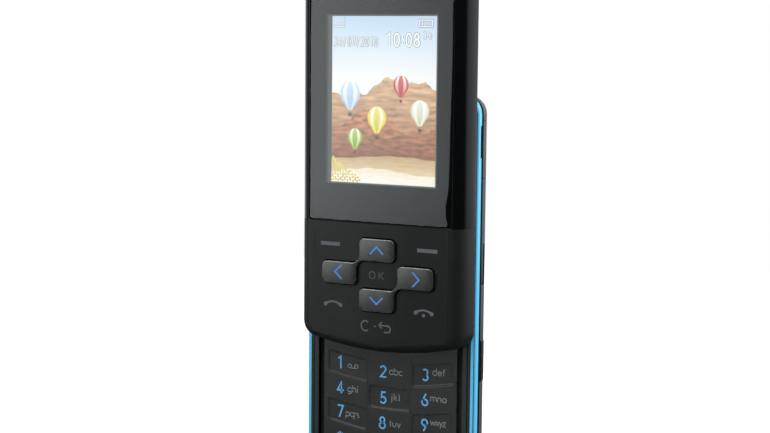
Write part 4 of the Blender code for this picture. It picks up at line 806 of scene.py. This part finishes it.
# %% Letters
bowl = arc(0.5, 0.5, 0.5, 0, 360, 1.0, 18)
arch = arc(0.42, 0.55, 0.42, 180, 0, 1.07, 8)
letter_lines = {
    "a": (1.0, [bowl, [(1.0, 1.0), (1.0, 0.0)]]),
    "b": (1.0, [bowl, [(0.0, 1.6), (0.0, 0.0)]]),
    "c": (0.86, [arc(0.5, 0.5, 0.5, 48, 312)]),
    "d": (1.0, [bowl, [(1.0, 1.6), (1.0, 0.0)]]),
    "e": (1.0, [[(0.02, 0.5), (0.98, 0.5)] + arc(0.5, 0.5, 0.5, 12, 318)]),
    "f": (0.5, [[(0.2, 0.0), (0.2, 1.25)] + arc(0.5, 1.3, 0.3, 170, 70, 1.0, 5), [(0.0, 1.0), (0.5, 1.0)]]),
    "g": (1.0, [bowl, [(1.0, 1.0), (1.0, 0.0)] + arc(0.5, -0.05, 0.5, 0, -140, 0.9, 8)]),
    "h": (0.84, [[(0.0, 1.6), (0.0, 0.0)], arch + [(0.84, 0.0)]]),
    "i": (0.1, [[(0.05, 0.0), (0.05, 1.0)], [(0.05, 1.3), (0.05, 1.5)]]),
    "j": (0.3, [[(0.3, 1.0), (0.3, -0.2)] + arc(0.05, -0.2, 0.25, 0, -80, 1.0, 4), [(0.3, 1.3), (0.3, 1.5)]]),
    "k": (0.75, [[(0.0, 1.6), (0.0, 0.0)], [(0.68, 1.0), (0.05, 0.45)], [(0.2, 0.6), (0.75, 0.0)]]),
    "l": (0.1, [[(0.05, 1.6), (0.05, 0.0)]]),
    "m": (1.5, [[(0.0, 1.0), (0.0, 0.0)], arc(0.375, 0.6, 0.375, 180, 0, 1.07, 8) + [(0.75, 0.0)],
                arc(1.125, 0.6, 0.375, 180, 0, 1.07, 8) + [(1.5, 0.0)]]),
    "n": (0.84, [[(0.0, 1.0), (0.0, 0.0)], arch + [(0.84, 0.0)]]),
    "o": (1.0, [bowl]),
    "p": (1.0, [bowl, [(0.0, 1.0), (0.0, -0.55)]]),
    "q": (1.0, [bowl, [(1.0, 1.0), (1.0, -0.55)]]),
    "r": (0.5, [[(0.0, 1.0), (0.0, 0.0)], arc(0.42, 0.55, 0.42, 180, 80, 1.07, 5)]),
    "s": (0.56, [arc(0.28, 0.75, 0.25, 50, 250, 0.95, 8) + arc(0.28, 0.25, 0.27, 70, -140, 0.95, 8)]),
    "t": (0.5, [[(0.25, 1.4), (0.25, 0.0)], [(0.0, 1.0), (0.5, 1.0)]]),
    "u": (0.84, [[(0.0, 1.0)] + arc(0.42, 0.45, 0.42, 180, 360, 1.07, 8) + [(0.84, 1.0)]]),
    "v": (0.84, [[(0.0, 1.0), (0.42, 0.0), (0.84, 1.0)]]),
    "w": (1.3, [[(0.0, 1.0), (0.34, 0.0), (0.65, 0.85), (0.96, 0.0), (1.3, 1.0)]]),
    "x": (0.8, [[(0.0, 1.0), (0.8, 0.0)], [(0.8, 1.0), (0.0, 0.0)]]),
    "y": (0.84, [[(0.0, 1.0), (0.42, 0.0)], [(0.84, 1.0), (0.2, -0.5)]]),
    "z": (0.75, [[(0.05, 1.0), (0.7, 1.0), (0.02, 0.0), (0.75, 0.0)]]),
}


def lettered(word, across, up, width, size):
    """The lines of a small word, centred on a place and spaced out to a width."""
    room = (width - size * sum(letter_lines[letter][0] for letter in word)) / (len(word) - 1)
    left, lines = across - width / 2, []
    for letter in word:
        wide, strokes = letter_lines[letter]
        lines += placed(strokes, left, up, size)
        left += wide * size + room
    return lines


print(len(letter_lines), "letters")

# %% [markdown]
# Two inks mark the keypad, a light blue for the figures and a grey for the letters, both screen printed on
# the film. The four-way keys have deeper blue arrows, and the lacquered keys thin grey signs. Ink is laid
# on evenly, so each ink only has a little mottle and a matt surface.

# %% Inks
inks = {}
for name, colour, paler in (
        ("light_blue_key_ink", "#62aee4", "#5aa5dc"), ("arrow_blue_ink", "#4f8ad6", "#4a83cd"),
        ("grey_letter_ink", "#8f9294", "#85888a"), ("grey_sign_ink", "#5c6064", "#565a5e"),
        ("faint_sign_ink", "#484b4d", "#434648"), ("dash_grey_ink", "#5c5d64", "#55565d")):
    # even ink with a faint mottle from the mesh of the screen
    inks[name] = mottled(
        name, colour, paler, 0.4 * mm, 0.45, 0.6, 1 * mm, inputs={"Specular IOR Level": 0.3})[0]
print(len(inks), "inks")

# %% [markdown]
# A number key has its figure on the left and its letters on the right. One picture on the film could hold
# them all, but drawn ink goes down with its own key and stays sharp from close by.

# %% Figures and letters
film_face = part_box("key_2")[0].y
pocket_face = film_face + 0.28 * mm
# marks in a pocket lie deeper, so they are moved a little to stay where they are seen from the camera
sunk_shift = (-0.155, -0.03)
figure_size, figure_pen, letter_size, letter_pen = 3.4, 0.43, 1.1, 0.18
figure_places = {
    "1": (-14.55, 30.2), "2": (-1.75, 29.1), "3": (10.63, 29.5), "4": (-14.56, 23.6), "5": (-1.67, 22.2),
    "6": (10.44, 23.1), "7": (-14.5, 17.2), "8": (-1.84, 15.6), "9": (10.53, 16.5), "star": (-14.5, 10.7),
    "0": (-1.85, 9.1), "hash": (10.5, 10.2),
}
letter_places = {
    "2": ("abc", 1.97, 28.55, 3.75), "3": ("def", 14.38, 29.68, 3.46), "4": ("ghi", -10.81, 22.6, 3.0),
    "5": ("jkl", 1.85, 21.8, 2.53), "6": ("mno", 14.37, 22.95, 4.5), "7": ("pqrs", -10.84, 16.0, 4.0),
    "8": ("tuv", 1.87, 14.9, 3.23), "9": ("wxyz", 14.38, 16.7, 4.39),
}
sunk_keys = ("1", "3", "5", "7", "9", "0")
for figure, (across, up) in figure_places.items():
    face, (shift, lift) = (pocket_face, sunk_shift) if figure in sunk_keys else (film_face, (0.0, 0.0))
    left, foot = across + shift - 0.3 * figure_size, up + lift - figure_size / 2
    pen_lines(
        "figure_" + figure, placed(figure_lines[figure], left, foot, figure_size), figure_pen, face,
        inks["light_blue_key_ink"], f"key_{figure}_body",
    )
    if figure in letter_places:
        word, middle, foot, width = letter_places[figure]
        pen_lines(
            "letters_" + word, lettered(word, middle + shift, foot + lift, width, letter_size), letter_pen, face,
            inks["grey_letter_ink"], f"key_{figure}_body",
        )
tape_sign = [arc(reel, 29.43, 0.5, 0, 360, 1.0, 16) for reel in (-11.77, -9.78)] + [[(-11.77, 28.93), (-9.78, 28.93)]]
pen_lines("message_sign", placed(tape_sign, *sunk_shift, 1.0), letter_pen, pocket_face, inks["grey_letter_ink"],
          "key_1_body")
print("figures on", len(figure_places), "keys and letters on", len(letter_places))

# %% [markdown]
# The keys of the slider carry arrows and signs. Most are plain pen lines. The two handsets swell towards
# their ends, so they are filled outlines: a pen of one width would turn them into plain arcs.

# %% Arrows and signs
arrow_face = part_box("nav_key_up_left")[0].y
for name, points, body in (
        ("arrow_up", [(-1.86, 60.4), (0.0, 62.35), (1.85, 60.5)], "nav_key_up_left_body"),
        ("arrow_left", [(-10.1, 57.1), (-12.15, 55.2), (-10.1, 53.35)], "nav_key_up_left_body"),
        ("arrow_right", [(10.3, 56.7), (12.15, 54.85), (10.3, 53.0)], "nav_key_right_down_body"),
        ("arrow_down", [(-1.85, 49.5), (0.05, 47.75), (1.9, 49.55)], "nav_key_right_down_body")):
    pen_lines(name, [points], 0.42, arrow_face, inks["arrow_blue_ink"], body)

sign_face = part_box("ok_key")[0].y
for side, name in ((-1, "left"), (1, "right")):
    pen_lines(
        f"soft_key_{name}_dash", [[(side * 14.0 - 2.85, 62.2), (side * 14.0 + 2.85, 62.2)]], 0.95, sign_face,
        inks["dash_grey_ink"], f"soft_key_{name}_body",
    )
bow_steps, bow_radius, bow_foot, bow_first, bow_sweep = 24, 3.72, 43.55, 136, 92
thin_pen, swelling, swell_start, swell_rate, round_share = 0.24, 0.26, 1.9, 8, 0.07
for name, middle, body in (("send", -13.1, "send_key_body"), ("end", 13.2, "end_key_body")):
    # a telephone handset lying face down: a bow that swells at both ends and is round there
    handset = []
    for side in (1, -1):
        bow = []
        for step in range(bow_steps + 1):
            share = step / bow_steps
            angle = math.radians(bow_first - bow_sweep * share)
            from_end = min(share, 1 - share)
            half_pen = thin_pen + swelling * min(1.0, max(0.0, swell_start - from_end * swell_rate))
            half_pen *= math.sqrt(1 - max(0.0, 1 - from_end / round_share) ** 2)
            reach = bow_radius + side * half_pen
            bow.append(((middle + reach * math.cos(angle)) * mm, (bow_foot + reach * math.sin(angle)) * mm))
        handset += bow[::side]
    flat_piece(
        name + "_sign", [handset], sign_face - 0.02 * mm, sign_face + 0.01 * mm, inks["grey_sign_ink"], body,
    )
pen_lines("end_sign_dot", [[(12.75, 45.93), (13.55, 45.93)]], 0.8, sign_face, inks["grey_sign_ink"],
          "end_key_body")
ok_lines = [arc(-1.62, 54.98, 0.82, 0, 360, 1.1, 20), [(0.35, 54.08), (0.35, 55.88)], [(1.6, 55.88), (0.42, 54.98)],
            [(0.62, 55.12), (1.65, 54.08)]]
pen_lines("ok_letters", ok_lines, 0.26, sign_face, inks["faint_sign_ink"], "ok_key_body")
clear_lines = [arc(-3.5, 41.83, 1.2, 50, 310, 1.08, 16), [(-0.95, 41.9), (-0.5, 41.9)],
               [(0.45, 42.35), (2.9, 42.35)] + arc(2.9, 41.5, 0.85, 90, -90, 1.0, 8) + [(1.9, 40.65)],
               [(1.35, 41.55), (0.4, 42.35), (1.35, 43.15)]]
pen_lines("clear_signs", clear_lines, 0.34, sign_face, inks["grey_sign_ink"], "clear_key_body")
print("arrows at", round(arrow_face / mm, 2), "mm and signs at", round(sign_face / mm, 2), "mm")

# %% [markdown]
# The flush keys are sprayed together with the panel, and the lacquer closes the hair-fine gaps around them.
# A band of it lies in each gap. Solids without gaps would look the same, but then no key could move.

# %% Lacquer in the gaps
key_gap, key_corner, band_depth, band_pen = 0.05 * mm, 1.1 * mm, 0.03 * mm, 0.11
for name in ("soft_key_left", "soft_key_right", "send_key", "end_key", "clear_key", "ok_key"):
    low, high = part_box(name)
    edge = rounded(low.x - key_gap / 2, high.x + key_gap / 2, low.z - key_gap / 2, high.z + key_gap / 2, key_corner)
    pen_lines(
        name + "_lacquer_band", [[(x / mm, z / mm) for x, z in edge + edge[:1]]], band_pen, sign_face + band_depth,
        key_lacquer, "slider", rise=0.0,
    )
print("bands", band_pen, "mm wide")

# %% [markdown]
# The display is lit from behind, so its picture gives light of its own and is no paint. A landscape with
# balloons fills it. It is built like paper cut-outs: sky, hills, sand, flowers and balloons lie on each other
# in layers finer than a hair. One shader for the whole picture would have to work out every outline again.

# %% Picture helpers
layer_step, layer_thickness, marks_layer, picture_strength = 0.02 * mm, 0.015 * mm, 10, 1.08


def lit_colour(name, foot_colour, top_colour, low, high, mottle, size, stretch=1.0):
    """A lit part of the picture. Its colour rises from foot to top, with a mottle of a size in metres."""
    material, tree, shader, where = finish(
        name, {"Base Color": linear("#050505"), "Roughness": 0.4, "Emission Strength": picture_strength})
    colour = mixed(tree, spread(tree, along(tree, where, "Z"), low, high), foot_colour, top_colour)
    squeezed = node(tree, "ShaderNodeMapping", {"Vector": where, "Scale": (1 / stretch, 1.0, 1.0)})
    tone = blotches(tree, squeezed.outputs[0], size, 1 - mottle, 1 + mottle, 5.0)
    tree.links.new(scaled(tree, colour, tone), shader.inputs["Emission Color"])
    return material


def cut_out(name, outlines, layer, material):
    """A shape on a layer of the picture. Its outlines are in metres."""
    front = glass_low.y - (layer + 1) * layer_step
    return flat_piece(name, outlines, front, front + layer_thickness, material, "slider")


def ridge(name, foot, top, waves, layer, material):
    """A line of hills right across the picture, as high as a sum of waves, down to a foot."""
    steps = 96
    crest = []
    for step in range(steps + 1):
        x = picture_right + (picture_left - picture_right) * step / steps
        crest.append((x, top + sum(rise * mm * math.sin(x / (run * mm) + start) for rise, run, start in waves)))
    return cut_out(name, [[(picture_left, foot), (picture_right, foot)] + crest], layer, material)


print("layers", round(layer_thickness / mm, 3), "mm thick")

# %% [markdown]
# The landscape has a pale sky, two rows of cliffs, sand, a light foreground and flowers in one corner. The
# crests could be traced by hand, but a sum of sine waves looks as natural at this size.

# %% Landscape
sky_light = lit_colour("lit_pale_blue_sky", "#f4f4f2", "#bcd6ee", 105 * mm, 120 * mm, 0.02, 9 * mm, 3.0)
cut_out("picture_sky", [gasket_hole], 0, sky_light)
cliff_foot = 83 * mm
hills = (
    ("far_cliffs", "far_red_cliffs", ("#a8653f", "#d8b48c", 84 * mm, 106 * mm, 0.42, 1.0 * mm, 5.0), cliff_foot,
     102.2 * mm, ((2.2, 5.2, 0.6), (0.8, 1.9, 1.2), (0.35, 0.6, 0.2), (0.12, 0.21, 0.9))),
    ("near_cliffs", "near_brown_cliffs", ("#8a4e30", "#c48a62", 84 * mm, 98 * mm, 0.5, 0.8 * mm, 3.0), cliff_foot,
     93.6 * mm, ((2.6, 4.1, 2.6), (0.7, 1.3, 0.4), (0.3, 0.45, 1.1), (0.12, 0.18, 0.3))),
    ("sand", "tan_sand", ("#e8cfa4", "#b8925e", 80 * mm, 86 * mm, 0.14, 0.5 * mm, 5.0), picture_low, 84.6 * mm,
     ((0.5, 6.0, 1.0), (0.1, 1.1, 0.0))),
    ("foreground", "cream_foreground", ("#fbf6e8", "#f0e2c4", 78 * mm, 82.5 * mm, 0.08, 0.5 * mm, 4.0), picture_low,
     81.2 * mm, ((0.7, 5.0, 2.2), (0.12, 0.9, 0.0))),
)
for layer, (name, colour_name, colours, foot, top, waves) in enumerate(hills):
    ridge("picture_" + name, foot, top, waves, layer + 1, lit_colour("lit_" + colour_name, *colours))

flower_light = lit_colour("lit_yellow_flowers", "#c9b12e", "#f1e37c", 78 * mm, 85 * mm, 0.25, 0.3 * mm)
# the flowers fill the lower left corner in rows that get fewer to the right, each a little out of line
flower_columns, flower_rows, flower_step, flower_size, flower_stray = 12, 8, 0.72, 0.3, 0.14
flowers = []
for column in range(flower_columns):
    for row in range(int(flower_rows * (1 - column / flower_columns)) + 1):
        x = -14.3 + flower_step * column + flower_stray * math.sin(5 * row + column)
        z = 78.6 + flower_step * row + flower_stray * math.sin(3 * column + 2 * row)
        flowers.append([(px * mm, pz * mm) for px, pz in arc(x, z, flower_size, 0, 315, 1.0, 7)])
cut_out("picture_flowers", flowers, 5, flower_light)
print(len(hills), "ridges and", len(flowers), "flowers")

# %% [markdown]
# A balloon is sewn from long panels, which look narrower towards its sides. Three cut-outs of one outline,
# each narrower than the one below it, show that. Straight stripes in a shader would not follow the sides.

# %% Balloons
basket_light = lit_colour("lit_wicker_baskets", "#4a3020", "#6b4a33", 84 * mm, 104 * mm, 0.2, 0.2 * mm)
baskets = []
for name, dark, light, across, up, radius in (
        ("pale_blue", "#a9c6e6", "#d3e3f4", -9.4, 100.6, 2.9), ("yellow", "#d8c83a", "#efe47a", -1.6, 94.6, 2.7),
        ("red", "#b93d38", "#d8605a", 5.2, 103.0, 2.2), ("cream", "#cfcdb2", "#efeeda", 10.6, 96.6, 2.6),
        ("lime", "#86a630", "#b6cf5c", -7.9, 89.6, 2.1)):
    tones = [
        lit_colour(f"lit_{name}_{kind}", first, second, (up - radius) * mm, (up + radius) * mm, 0.05, 1 * mm)
        for kind, first, second in (("cloth", dark, light), ("cloth_panels", light, "#ffffff"))
    ]
    mouth = [(side * 0.2 * radius, -1.45 * radius) for side in (-1, 1)]
    envelope = arc(0.0, 0.0, radius, -32, 212, 1.05, 22) + mouth
    for layer, width_share in enumerate((1.0, 0.72, 0.34)):
        cut_out(f"balloon_{name}_{layer}", [
            [((across + x * width_share) * mm, (up + z) * mm) for x, z in envelope]
        ], 6 + layer, tones[layer % 2])
    baskets.append([
        ((across + x * radius) * mm, (up + z * radius) * mm)
        for x, z in ((-0.16, -2.0), (0.16, -2.0), (0.2, -1.68), (-0.2, -1.68))
    ])
cut_out("balloon_baskets", baskets, 6, basket_light)
print(len(baskets), "balloons")

# %% [markdown]
# The phone writes its date, clock and signs in white with a dark edge, which can be read on any picture. The
# pen draws each mark twice, wide and dark below, narrow and white above. That is simpler than an outline.

# %% Numbers and signs on the display
mark_dark = lit_colour("lit_mark_outline", "#26303c", "#303c4a", 112 * mm, 120 * mm, 0.05, 1 * mm)
mark_light = lit_colour("lit_mark_white", "#f4f6f8", "#ffffff", 112 * mm, 120 * mm, 0.02, 1 * mm)
marks_face = glass_low.y - marks_layer * layer_step
status_lines = [[(-14.2, 117.4), (-11.3, 117.4), (-11.3, 119.2), (-14.2, 117.4)],
                [(10.3, 117.4), (13.9, 117.4), (13.9, 119.0), (10.3, 119.0), (10.3, 117.4)]]
status_lines += [[(x, 117.8), (x, 118.6)] for x in (11.1, 12.0, 12.9)]
number_rows = (
    ("date", "24/07/2010", -14.0, 112.4, 1.29, 2.4, 0.6, 0.26), ("clock", "10:08", 0.8, 112.4, 2.25, 3.5, 0.85, 0.46),
    ("seconds", "36", 11.4, 114.4, 1.45, 1.7, 0.75, 0.26),
)
number_lines = {"status": (status_lines, 0.26)}
for name, figures, left, foot, pitch, size, widening, pen in number_rows:
    lines = []
    for figure in figures:
        lines += placed(figure_lines[figure], left, foot, size, widening)
        left += pitch * (0.5 if figure == ":" else 1.0)
    number_lines[name] = (lines, pen)
for name, (lines, pen) in number_lines.items():
    for kind, width, layer, light in (("outline", pen + 0.22, 0, mark_dark), ("white", pen, 1, mark_light)):
        pen_lines(f"display_{name}_{kind}", lines, width, marks_face - layer * layer_step, light, "slider",
                  rise=0.01)
print(len(number_lines), "groups of marks on the display")

# %% [markdown]
# The number keys are one film, so no gap shows between them. The solids leave a hair's breadth round each
# key to let it move, and this thin web of the same film lies in those gaps.

# %% Film between the keys
gap_depth, web_pen, web_foot, web_top, row_pitch, web_steps = 0.03 * mm, 0.12, 6.1, 34.8, 6.42, 12
column_edge, web_half_width, row_bow, row_bow_half_width = 6.35, 19.5, 3.6, 24.25
web_lines = [
    [(x, web_foot + row_bow * (x / row_bow_half_width) ** 2), (x, web_top)] for x in (-column_edge, column_edge)
]
for row in (1, 2, 3):
    web_lines.append([
        (x, web_foot + row_pitch * row + row_bow * (x / row_bow_half_width) ** 2)
        for x in (web_half_width * step / web_steps for step in range(-web_steps, web_steps + 1))
    ])
pen_lines(
    "keypad_film_web", web_lines, web_pen, film_face + gap_depth, film, "base", rise=0.0,
)
print("web of", len(web_lines), "strips")
